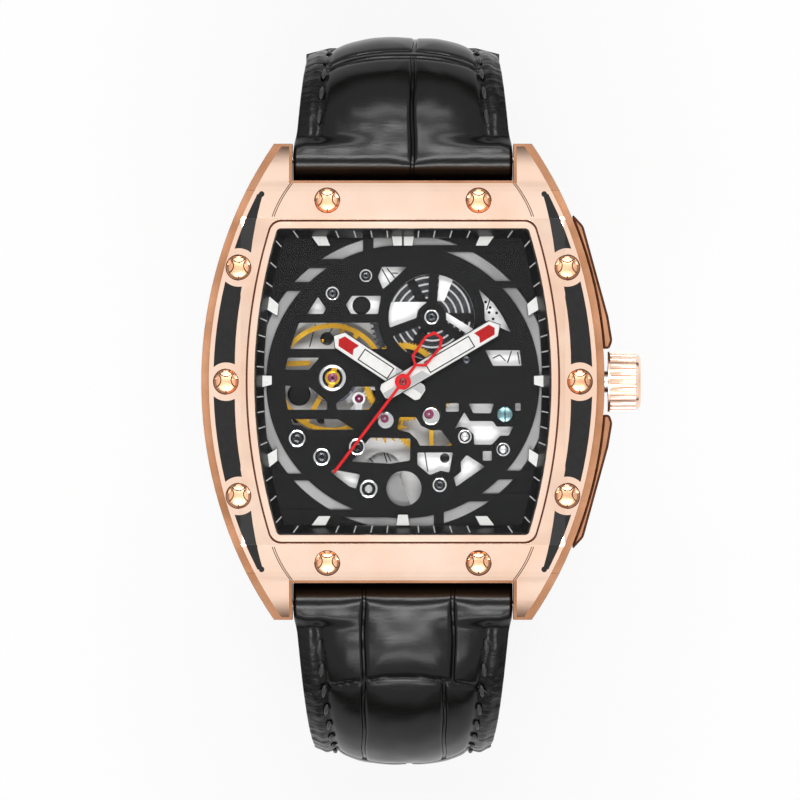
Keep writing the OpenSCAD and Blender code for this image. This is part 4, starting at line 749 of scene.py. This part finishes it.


# black marks on the plates, painted shade where the plates are sunk and black where parts are blackened: discs (x, y,
# radius), lines and round dots on each
plateMarks = {
    "lower": {"z": lowerPlate["top"],
              "discs": [(-7.65, 4.35, 0.62), (-10.45, -1.25, 1.08), (-3.0, -1.15, 0.4), (-10.7, -3.75, 0.4),
                        (-8.2, -3.75, 0.46), (0.2, -6.2, 0.46)],
              "lines": [[(-8.8, 5.8), (-9.4, 3.5)], [(-6.95, 5.6), (-7.7, 4.5)], [(-5.4, 5.6), (-4.5, 3.8)],
                        [(-11.7, 2.55), (-8.6, 2.55)], [(-2.7, -7.3), (-2.1, -6.5), (-1.6, -8.1)],
                        [(-3.6, -5.9), (-2.9, -6.4)], [(-1.9, -6.6), (-1.2, -8.0)], [(-4.2, -6.9), (-3.0, -8.1)]],
              "dots": [(-2.93, 5.4), (-2.85, 5.0), (-2.72, 4.6), (-2.56, 4.2), (-2.37, 3.85), (-2.08, 3.5)]},
    "main": {"z": 5.8,
             "discs": [(4.2, -7.65, 0.45), (-4.15, 7.65, 0.85)],
             "lines": [[(9.0, 2.35), (9.7, 2.7), (10.3, 2.1)], [(10.5, 1.9), (10.9, 3.1)], [(11.5, 3.0), (11.7, 1.8)],
                       [(9.05, 9.3), (8.4, 7.2)], [(-2.1, 11.3), (-1.3, 9.9)], [(-1.6, 11.4), (-0.8, 10.4)],
                       [(2.2, -7.1), (2.5, -9.0)], [(-1.1, 10.9), (-0.5, 10.9)]],
             "dots": [(8.75, 7.45), (8.65, 6.95), (9.05, 6.3), (9.4, 6.9), (8.3, 8.0)]},
}
markSizes = {"line": 0.11, "lineTall": 0.02, "lineAt": 0.004, "dot": 0.15}
giltMarks = {"pin": (-8.05, 4.15),
             "bars": [((-6.05, 5.2), (0.45, 1.3, 0.06), -0.2), ((-10.6, 1.85), (2.6, 0.5, 0.06), 0.03)]}
# the dark half of the round window at the bottom of the dial
windowShade = {"middle": (0.06, -10.76, 6.0), "radius": 1.74, "cutAt": (0.15, -10.7, 6.0), "cutWay": (0.93, 0.36, 0)}


def makePlateMarks():
    dark, gold, half = (bmesh.new() for _ in range(3))
    for marks in plateMarks.values():
        z = marks["z"]
        for x, y, r in marks["discs"]:
            spun(dark, [(0, 0.006), (r * 0.8, 0.01), (r, 0.03), (r * 1.08, 0)], (x, y, z), 32)
        r = markSizes["dot"]
        for x, y in marks["dots"]:
            spun(dark, [(0, 0.06), (r * 0.7, 0.05), (r, 0)], (x, y, z), 12)
        for line in marks["lines"]:
            points = [Vector((x, y, z + markSizes["lineAt"])) for x, y in line]
            for a, b in zip(points, points[1:]):
                rod(dark, a, b, markSizes["line"], markSizes["lineTall"])
    finishPiece(dark, "plate_marks", blackGloss, "black_plate", sharp=40)
    spun(gold, [(0, 0.3), (0.14, 0.28), (0.26, 0.1), (0.28, 0)], (*giltMarks["pin"], lowerPlate["top"]), 24)
    for (x, y), size, turn in giltMarks["bars"]:
        bar(gold, (x, y, lowerPlate["top"] + size[2] / 2), size, turn)
    finishPiece(gold, "gilt_inserts", giltBrass, "gilt_brass", sharp=40)
    radius = windowShade["radius"]
    spun(half, [(0, 0.02), (radius, 0.02), (radius, 0)], windowShade["middle"], 48)
    cutAcross(half, windowShade["cutAt"], windowShade["cutWay"], True)
    finishPiece(half, "low_window_shade", ringSteel, "grey_ring", sharp=40)


makePlateMarks()
makeLowerPlate()
for name in ("centre_wheel", "third_wheel", "fourth_wheel", "escape_wheel", "balance_wheel", "hour_wheel",
             "minute_wheel"):
    finerNode(name, giltBrass, 0.02, 1)
for name, material in {"train_bridge": silverPlate, "rotor": brushedSteel, "balance_cock": silverPlate,
                       "barrel": springSteel, "barrel_cover": blackGloss}.items():
    finerNode(name, material, 0.04)
for name in ("mainspring", "barrel_arbor", "pallet_fork", "rotor_bearing"):
    paint(name, mirrorSteel)
for name, material in {"movement_ring": brushedSteel, "bridge_screws": bluedSteel, "hairspring": bluedSteel}.items():
    paint(name, material)
print("movement made")


# Hands

hands = {
    # lume and red are where a stretch begins and ends along the hand, and half its width
    "hour": {"angle": 146.5, "length": 8.3, "half": 0.9, "z": 7.7, "lume": (1.55, 4.9, 0.56), "red": (5.65, 7.7, 0.58),
             "steel": 1.4},
    "minute": {"angle": 30.4, "length": 11.25, "half": 0.87, "z": 8.2, "lume": (2.9, 7.9, 0.54),
               "red": (8.6, 10.65, 0.58), "steel": 2.7},
    "tail": 2.35, "point": 0.73, "chamfer": 0.35, "thick": 0.2, "rim": 0.11, "shadowBorder": 0.09, "inlayPoint": 0.35,
    "inlayNotch": 0.25, "facetIn": 0.08, "facetPoint": 0.5, "sunk": 0.02,
}


def makeHand(name):
    shape = hands[name]
    tail, point, cut, sunk, inlay = (hands[k] for k in ("tail", "point", "chamfer", "sunk", "inlayPoint"))
    length, half, z, end = (shape[k] for k in ("length", "half", "z", "steel"))
    cosine, sine = cos(radians(shape["angle"])), sin(radians(shape["angle"]))
    top = z + hands["thick"]

    def layer(part, outline, low, high, material, slot, replaced=()):
        bm = bmesh.new()
        prism(bm, [(x * cosine - y * sine, x * sine + y * cosine) for x, y in outline], low, high)
        return finishPiece(bm, name + "_hand_" + part, material, slot, replaced, name + "s")

    def blade(grown):
        below = [(-tail - grown, cut - half), (cut - tail, -half - grown), (length - point, -half - grown)]
        return below + [(length + grown, 0)] + [(x, -y) for x, y in reversed(below)]

    def field(first, last, wide):
        return [(first, -wide), (last, -wide), (last, wide), (first, wide)]

    softEdges(layer("body", blade(0), z, top, whiteLume, "white_paint", [name + "_hand"]), 0.07)
    # a black border a little wider than the blade, just under its top: painted shadow round the hand
    layer("shadowBorder", blade(hands["shadowBorder"]), z + 0.02, z + 0.1, blackGloss, "black_plate")
    first, last, wide = shape["lume"]
    rim = hands["rim"]
    layer("outline", field(first - rim, last + rim, wide + rim), top - sunk, top + 0.03, blackGloss, "black_plate")
    layer("lume", field(first, last, wide), top - sunk, top + 0.06, whiteLume, "white_paint")
    first, last, wide = shape["red"]
    layer("inlay", [(first, -wide), (last - inlay, -wide), (last, 0), (last - inlay, wide), (first, wide),
                    (first + hands["inlayNotch"], 0)], top - sunk, top + 0.02, redInlay, "red_paint")
    back, low = 0.1 - tail, hands["facetIn"] - half
    layer("facet", [(back, cut - half), (cut - tail + hands["facetIn"], low), (end, low),
                    (end - hands["facetPoint"], 0), (back, 0)], top - sunk, top + 0.01, mirrorSteel, "steel")


def makeSecondHand():
    hand = finerNode("second_hand", redLacquer, 0.03)
    fuller = hand.modifiers.new("lacquerCoat", "DISPLACE")
    fuller.strength = 0.035 * mm
    fuller.mid_level = 0
    collar, pin = bmesh.new(), bmesh.new()
    hub = (0, 0, 8.9)
    spun(collar, [(0.2, 0.0), (0.22, 0.05), (0.3, 0.07), (0.36, 0.04), (0.36, 0)], hub, 28)
    finishPiece(collar, "second_hand_collar", springSteel, "steel", body="seconds", sharp=50)
    spun(pin, [(0, 0.06), (0.1, 0.05), (0.17, 0.01), (0.2, -0.02)], hub, 24)
    finishPiece(pin, "second_hand_pin", blackGloss, "black_plate", body="seconds", sharp=60)


makeHand("hour")
makeHand("minute")
makeSecondHand()
print("hands made")


# Strap

strap = {"barY": 22.4, "barZ": 3.0, "lead": 3.0, "slope": -15.0, "footBend": 13.0, "width": 21.8, "endWidth": 18.0,
         "taper": 20.0, "edge": 1.2, "pad": 2.6, "roll": 1.95, "rollReach": 2.2, "thin": 1.2, "step": 0.24,
         "columns": 132, "domeEdge": 2.5, "grooveDepth": 0.22, "grooveWidth": 0.22, "puff": 0.16, "puffWidth": 1.5,
         "seamIn": 2.1, "seamDepth": 0.16, "seamWidth": 0.4, "edgeFall": 0.42, "edgeReach": 1.3, "edgeRound": 0.35,
         "least": 0.45, "tip": 7, "tipRadius": 11.88, "tipMiddle": 2.88, "liningStart": 1.95, "liningStep": 0.8,
         "stitchStart": 4}


def smooth(t):
    t = max(0, min(1, t))
    return t * t * (3 - 2 * t)


def bendRun(radius, turn):
    return radius * abs(turn) * pi / 180, turn


def strapPath(bend, foot, *last):
    # runs of length and turn from the spring bar: out, down, and round at the foot
    slope = radians(strap["slope"])
    drop = strap["barZ"] + strap["lead"] * sin(slope) - bend * cos(slope) - strap["footBend"] - foot
    return [(strap["lead"], 0), bendRun(bend, -90 - strap["slope"]), (drop, 0), bendRun(strap["footBend"], -90), *last]


# each half: its route, where its padding fades, what is cut off its leather and stitching at the end, and its scales
# as places and bows of the cross grooves and as splits of each row
halves = {
    "short": {"path": strapPath(9.7, -49.78, (13.0, 0)), "side": 1, "body": "strap_12", "fade": (26, 34), "open": 1.9,
              "seamOpen": 4, "coarser": 1,
              "cross": [(9.6, 0.25), (10.6, 0.25), (20.5, -0.6), (31, 0.7), (42, -0.6), (53, 0.6), (64, -0.6)],
              "splits": [[0.95], [], [1.2], [-0.6], [-4, 3.6], [0.4], [-3.2, 4], [0]]},
    "long": {"path": strapPath(15.2, -49.4, (2, 0), bendRun(11.0, -90), (22.0, 0)), "side": -1, "body": "strap_6",
             "fade": (84, 92), "open": 0, "seamOpen": 11, "coarser": 1.15,
             "cross": [(8.1, -1.5), (20.5, 1.0), (31, -1), (42, 1.2), (53, -1), (64, 1), (75, -1), (86, 1), (97, -1)],
             "splits": [[-3.95, 5.05], [-3.95, 4.2], [0.6], [-3.8, 4.3], [-0.5], [-4.2, 3.7], [0.8], [-3.6, 4.1], [0],
                        [-4, 4]]},
}
for strapHalf in halves.values():
    strapHalf["length"] = sum(run[0] for run in strapHalf["path"])


def walk(path, s):
    # place and heading at a length along the route
    y, z, heading = strap["barY"], strap["barZ"], strap["slope"]
    for index, (length, turn) in enumerate(path):
        here = s if index == len(path) - 1 else min(s, length)
        part = turn * here / length
        chord = here if part == 0 else 2 * here / radians(part) * sin(radians(part) / 2)
        middle = radians(heading + part / 2)
        y += chord * cos(middle)
        z += chord * sin(middle)
        heading += part
        s -= here
        if s <= 1e-9:
            break
    return y, z, radians(heading)


def halfWidth(s, strapHalf=None):
    half = (strap["width"] - (strap["width"] - strap["endWidth"]) * min(1, s / strap["taper"])) / 2
    half += 0.13 * smooth((3 - s) / 2)  # fills the slot between the lugs
    intoTip = s + strap["tip"] - halves["long"]["length"]
    if strapHalf is halves["long"] and intoTip > 0:
        half = sqrt(strap["tipRadius"] ** 2 - intoTip ** 2) - strap["tipMiddle"]  # the rounded tip
    return half


def padHeight(s, fade):
    if s < 0:
        return strap["roll"] * sqrt(max(0.0, 1 - (s / strap["rollReach"]) ** 2))  # round the spring bar
    rise = strap["roll"] + (strap["pad"] - strap["roll"]) * min(1, s / 8)
    return rise - (strap["pad"] - strap["thin"]) * max(0, min(1, (s - fade[0]) / (fade[1] - fade[0])))


def scaleGap(x, s, half, rows):
    # distance to the nearest groove between two scales
    lines = [c + bow * (1 - (x / 7) ** 2) for c, bow in rows["cross"]]
    row = sum(1 for line in lines if s > line)
    gaps = [abs(s - line) for line in lines]
    if abs(x) < half - 2.6:
        gaps += [abs(x - split - 0.06 * sin(s * 0.9 + split)) for split in rows["splits"][row]]
    return min(gaps)


def dent(distance, depth, width):
    return depth * exp(-(distance / width) ** 2)


def leatherTop(x, s, half, strapHalf):
    pad = padHeight(s, strapHalf["fade"])
    fromEdge = half - abs(x)
    low = pad - max(0, pad - strap["edge"]) * smooth((s - 0.7) / 1.5)
    share = min(1, abs(x) / (half - strap["domeEdge"]))
    height = low + (pad - low) * (1 - share ** 2.4) ** 0.8
    if s > 0:
        height -= strap["edgeFall"] * smooth((strap["edgeReach"] - fromEdge) / strap["edgeReach"]) * smooth(s / 2)
    if fromEdge < strap["edgeRound"]:
        rounding = 1 - sqrt(max(0, 1 - (1 - fromEdge / strap["edgeRound"]) ** 2))
        height -= 0.3 * rounding * min(1, height / strap["roll"])
    if s > 1.2:
        height -= dent(fromEdge - strap["seamIn"], strap["seamDepth"], strap["seamWidth"]) * smooth(s - 1.2)
    gap = scaleGap(x, s, half, strapHalf)
    dip = dent(gap, strap["grooveDepth"], strap["grooveWidth"]) + dent(gap, strap["puff"], strap["puffWidth"])
    dip -= 0.05 * noise.noise(Vector((x * 0.5, s * 0.45, 3.1)))
    height -= dip * smooth((fromEdge - 1.9) / 0.8) * smooth((s + 1.4) / 1.5)
    wrinkles = 0.1 * noise.noise(Vector((x * 0.5, s * 2.1, 9))) + 0.07 * noise.noise(Vector((x * 1.4, s * 0.8, 5)))
    height += wrinkles * smooth((2.4 - fromEdge) / 0.5) * smooth((s - 1.5) / 1.5)
    return height if s < 0 else max(height, strap["least"])


def sweepStrap(name, strapHalf, start, end, section, material, slot, step, gapAt=None):
    # a grid whose columns run round the section and whose rows run along the strap
    path, side, body = strapHalf["path"], strapHalf["side"], strapHalf["body"]
    columns, rows = len(section(start)) - 1, max(2, round((end - start) / step))
    bm = bmesh.new()
    bmesh.ops.create_grid(bm, x_segments=columns, y_segments=rows, size=1)
    uvLayer = bm.loops.layers.uv.new("strapCentimetres")
    gapLayer = bm.verts.layers.float.new("scaleGap") if gapAt else None
    rings = []
    for j in range(rows + 1):
        s = start + (end - start) * j / rows
        rings.append((s, section(s), *walk(path, s)))
    flat = {}
    for vert in bm.verts:
        i, j = round((vert.co.x + 1) / 2 * columns), round((vert.co.y + 1) / 2 * rows)
        s, points, y, z, heading = rings[j]
        x, height = points[i]
        vert.co = Vector((x, side * (y - height * sin(heading)), z + height * cos(heading))) * mm
        flat[vert] = (x / 10, s / 10)
        if gapAt:
            vert[gapLayer] = gapAt(x, s)
    for face in bm.faces:
        for loop in face.loops:
            loop[uvLayer].uv = flat[loop.vert]
    bmesh.ops.remove_doubles(bm, verts=bm.verts, dist=sameSpot)
    bmesh.ops.holes_fill(bm, edges=[e for e in bm.edges if e.is_boundary])
    kind = name.split("_")[-1]
    return finishPiece(bm, name, material, slot, [body + "_" + kind], body, sharp=50, merge=False)


def leatherSection(strapHalf):
    def section(s):
        half = halfWidth(max(s, 0), strapHalf)
        steps = (2 * k / strap["columns"] - 1 for k in range(strap["columns"] + 1))
        top = [half * sin(pi / 2 * t) * 0.3 + half * t * 0.7 for t in steps]  # closer together at the edges
        points = [(x, leatherTop(x, s, half, strapHalf)) for x in top]
        under = -strap["roll"] * sqrt(max(0.0, 1 - (s / strap["rollReach"]) ** 2)) if s < 1.75 else 0.0
        corner = min(0.12, 0.3 * (points[0][1] - under))
        return points + [(half, under + corner), (half - 0.12, under), (0, under), (0.12 - half, under),
                         (-half, under + corner), points[0]]
    return section


def liningSection(strapHalf):
    def section(s):
        half = halfWidth(s, strapHalf)
        return [(-half, -0.12), (-half + 0.1, 0), (half - 0.1, 0), (half, -0.12), (half, -0.8), (half - 0.22, -1.0),
                (0, -1.0), (0.22 - half, -1.0), (-half, -0.8), (-half, -0.12)]
    return section


holes = {"first": 12, "apart": 6.5, "count": 7, "radius": 1}
tongueSlot = {"in": 0.2, "size": (3.2, 6.4, 8)}


def holeCutter():
    bm = bmesh.new()
    for i in range(holes["count"]):
        y, z, heading = walk(halves["long"]["path"], halves["long"]["length"] - holes["first"] - i * holes["apart"])
        if abs(degrees(heading) + 270) < 1:  # on the straight stretch
            place = Matrix.Translation(Vector((0, -y, z)) * mm) @ Matrix.Rotation(pi / 2, 4, "X")
            bmesh.ops.create_cone(bm, cap_ends=True, segments=32, radius1=holes["radius"] * mm,
                                  radius2=holes["radius"] * mm, depth=10 * mm, matrix=place)
    return bm


def slotCutter():
    bm = bmesh.new()
    y, z = walk(halves["short"]["path"], halves["short"]["length"])[:2]
    bar(bm, (0, y + tongueSlot["in"], z), tongueSlot["size"])
    return bm


stitches = {"pitch": 2.4, "in": 2.1, "size": (0.22, 0.86, 0.2), "sunk": 0.03, "lean": 0.1}


def makeStitches(name, strapHalf):
    bm = bmesh.new()
    side = strapHalf["side"]
    start, end = strap["stitchStart"], strapHalf["length"] - strapHalf["seamOpen"]
    count = round((end - start) / stitches["pitch"])
    height = strap["edge"] - stitches["sunk"]
    size = Matrix.Diagonal([c * mm for c in stitches["size"]] + [1])
    for k in range(count + 1):
        s = start + (end - start) * k / count
        y, z, heading = walk(strapHalf["path"], s)
        for sideX in (-1, 1):
            centre = Vector((sideX * (halfWidth(s) - stitches["in"]), side * (y - height * sin(heading)),
                             z + height * cos(heading)))
            place = Matrix.Translation(centre * mm) @ Matrix.Rotation(side * heading, 4, "X")
            lean = Matrix.Rotation(stitches["lean"] * sideX, 4, "Z")
            bmesh.ops.create_uvsphere(bm, u_segments=8, v_segments=6, radius=1, matrix=place @ lean @ size)
    body = strapHalf["body"]
    finishPiece(bm, name, thread, "thread", [body + "_stitching"], body, sharp=70, merge=False)


def makeStrap():
    fine = strap["step"] * 1
    made = []
    for name, cutter in (("short", slotCutter), ("long", holeCutter)):
        this = halves[name]
        end = this["length"] - this["open"]
        made.append(sweepStrap("strap_" + name + "_leather", this, 0.01 - strap["rollReach"], end, leatherSection(this),
                               leather, "strap_leather", fine * this["coarser"],
                               lambda x, s: scaleGap(x, s, halfWidth(max(s, 0)), this)))
        applyCut(made[-1], cutter())
        under = sweepStrap("strap_" + name + "_lining", this, strap["liningStart"], end, liningSection(this), lining,
                           "lining_leather", strap["liningStep"])
        applyCut(under, cutter())
    for name, this in halves.items():
        makeStitches("strap_" + name + "_stitches", this)


keeper = {"reach": 7.6, "down": 0.62}


def makeSlidingKeeper():
    # its outer corners are pared down to the rounded edges of the strap
    bm = meshOfNode("sliding_keeper")
    for side in (1, -1):
        cutAcross(bm, (side * keeper["reach"], 0, 0), (1, 0, 0))
    outside = max(v.co.y for v in bm.verts)
    for vert in bm.verts:
        if vert.co.y > outside - 0.05 * mm and abs(vert.co.x) > (keeper["reach"] + 0.1) * mm:
            vert.co.y -= keeper["down"] * mm
    finerNode("sliding_keeper", edgePaint, 0.25, 3, 12, bm)


makeStrap()
finerNode("fixed_keeper", edgePaint, 0.3, 3)
makeSlidingKeeper()
finerNode("buckle_frame", roseGold, 0.35, 3)
finerNode("buckle_tongue", roseGold, 0.2, 3)
paint("buckle_bar", brushedSteel)
print("strap made")


# Light, floor and camera

studio = {"floor": -52.05, "distance": 0.5,
          "bars": {"highBar": (70, 0.24, 0.92), "lowBar": (50, 0.26, 0.42)},  # elevation, length, power
          "barDeep": 0.08,
          "ambient": 0.24,
          # what metal and gloss reflect at each height of the room, dimmer and warmer low down
          "room": [(0.0, 0.02), (0.12, 0.1), (0.24, 0.55), (0.36, 1.05), (0.52, 1.03), (0.66, 0.98), (0.82, 0.94),
                   (1.0, 0.86)],
          "lens": 450, "cameraAt": (-0.29, -1.83, 1009)}


def areaLamp(name, side, elevation, length, power):
    data = bpy.data.lights.new(name, "AREA")
    data.shape = "RECTANGLE"
    data.size, data.size_y = length, studio["barDeep"]
    data.energy = power
    lamp = bpy.data.objects.new(name, data)
    e = radians(elevation)
    lamp.location = studio["distance"] * Vector((0, side * cos(e), sin(e)))
    lamp.rotation_euler = (Vector((0, 0.01 * side, 0)) - lamp.location).to_track_quat("-Z", "Y").to_euler()
    scene.collection.objects.link(lamp)


for side in (1, -1):  # long soft bars over the two ends of the strap
    for name, bulb in studio["bars"].items():
        areaLamp(name + str(side), side, *bulb)


def makeWorld():
    world = bpy.data.worlds.new("studio")
    tree = emptyTree(world)
    rays = addNode(tree, "LightPath").outputs
    place = addNode(tree, "TexCoord")
    split = addNode(tree, "SeparateXYZ", links={"Vector": place.outputs["Generated"]})
    ramp = addNode(tree, "ValToRGB", links={"Fac": split.outputs[2]})
    for position, level in studio["room"][1:-1]:
        ramp.color_ramp.elements.new(position)
    for element, (position, level) in zip(ramp.color_ramp.elements, studio["room"]):
        element.position = position
        element.color = (level, level ** 1.1, level ** 1.2, 1)
    clear = maths(tree, "MAXIMUM", rays["Is Camera Ray"], rays["Is Transmission Ray"])
    ambient = addNode(tree, "Mix", {6: (studio["ambient"],) * 3 + (1,)},
                      {0: rays["Is Glossy Ray"], 7: ramp.outputs[0]}, data_type="RGBA")
    shown = addNode(tree, "Mix", {7: (1, 1, 1, 1)}, {0: clear, 6: ambient.outputs[2]}, data_type="RGBA")
    sky = addNode(tree, "Background", {"Strength": 1}, {"Color": shown.outputs[2]})
    addNode(tree, "OutputWorld", links={"Surface": sky.outputs[0]})
    scene.world = world


def makeFloor():
    bm = bmesh.new()
    bmesh.ops.create_grid(bm, x_segments=1, y_segments=1, size=2)
    bmesh.ops.translate(bm, verts=bm.verts, vec=(0, 0, studio["floor"] * mm))
    floor, mesh = newObject("floor", bm)
    material = bpy.data.materials.new("paperFloor")
    tree = emptyTree(material)
    rays = addNode(tree, "LightPath").outputs
    seen = maths(tree, "MAXIMUM", rays["Is Camera Ray"], rays["Is Glossy Ray"])
    paper = addNode(tree, "BsdfDiffuse", {"Color": toLinear("#f8f8f8")})
    glow = addNode(tree, "Emission", {"Color": (1, 1, 1, 1), "Strength": 1})
    share = maths(tree, "MULTIPLY", seen, 0.86)  # the rest keeps the object's shadow
    mix = addNode(tree, "MixShader", links={0: share, 1: paper.outputs[0], 2: glow.outputs[0]})
    addNode(tree, "OutputMaterial", links={"Surface": mix.outputs[0]})
    mesh.materials.append(material)


def makeCamera():
    data = bpy.data.cameras.new("camera")
    data.sensor_width = 36
    data.lens = studio["lens"]
    data.clip_start = 0.05
    data.clip_end = 20
    camera = bpy.data.objects.new("camera", data)
    camera.location = Vector(studio["cameraAt"]) * mm
    scene.collection.objects.link(camera)
    scene.camera = camera


makeWorld()
makeFloor()
makeCamera()
print("studio made")
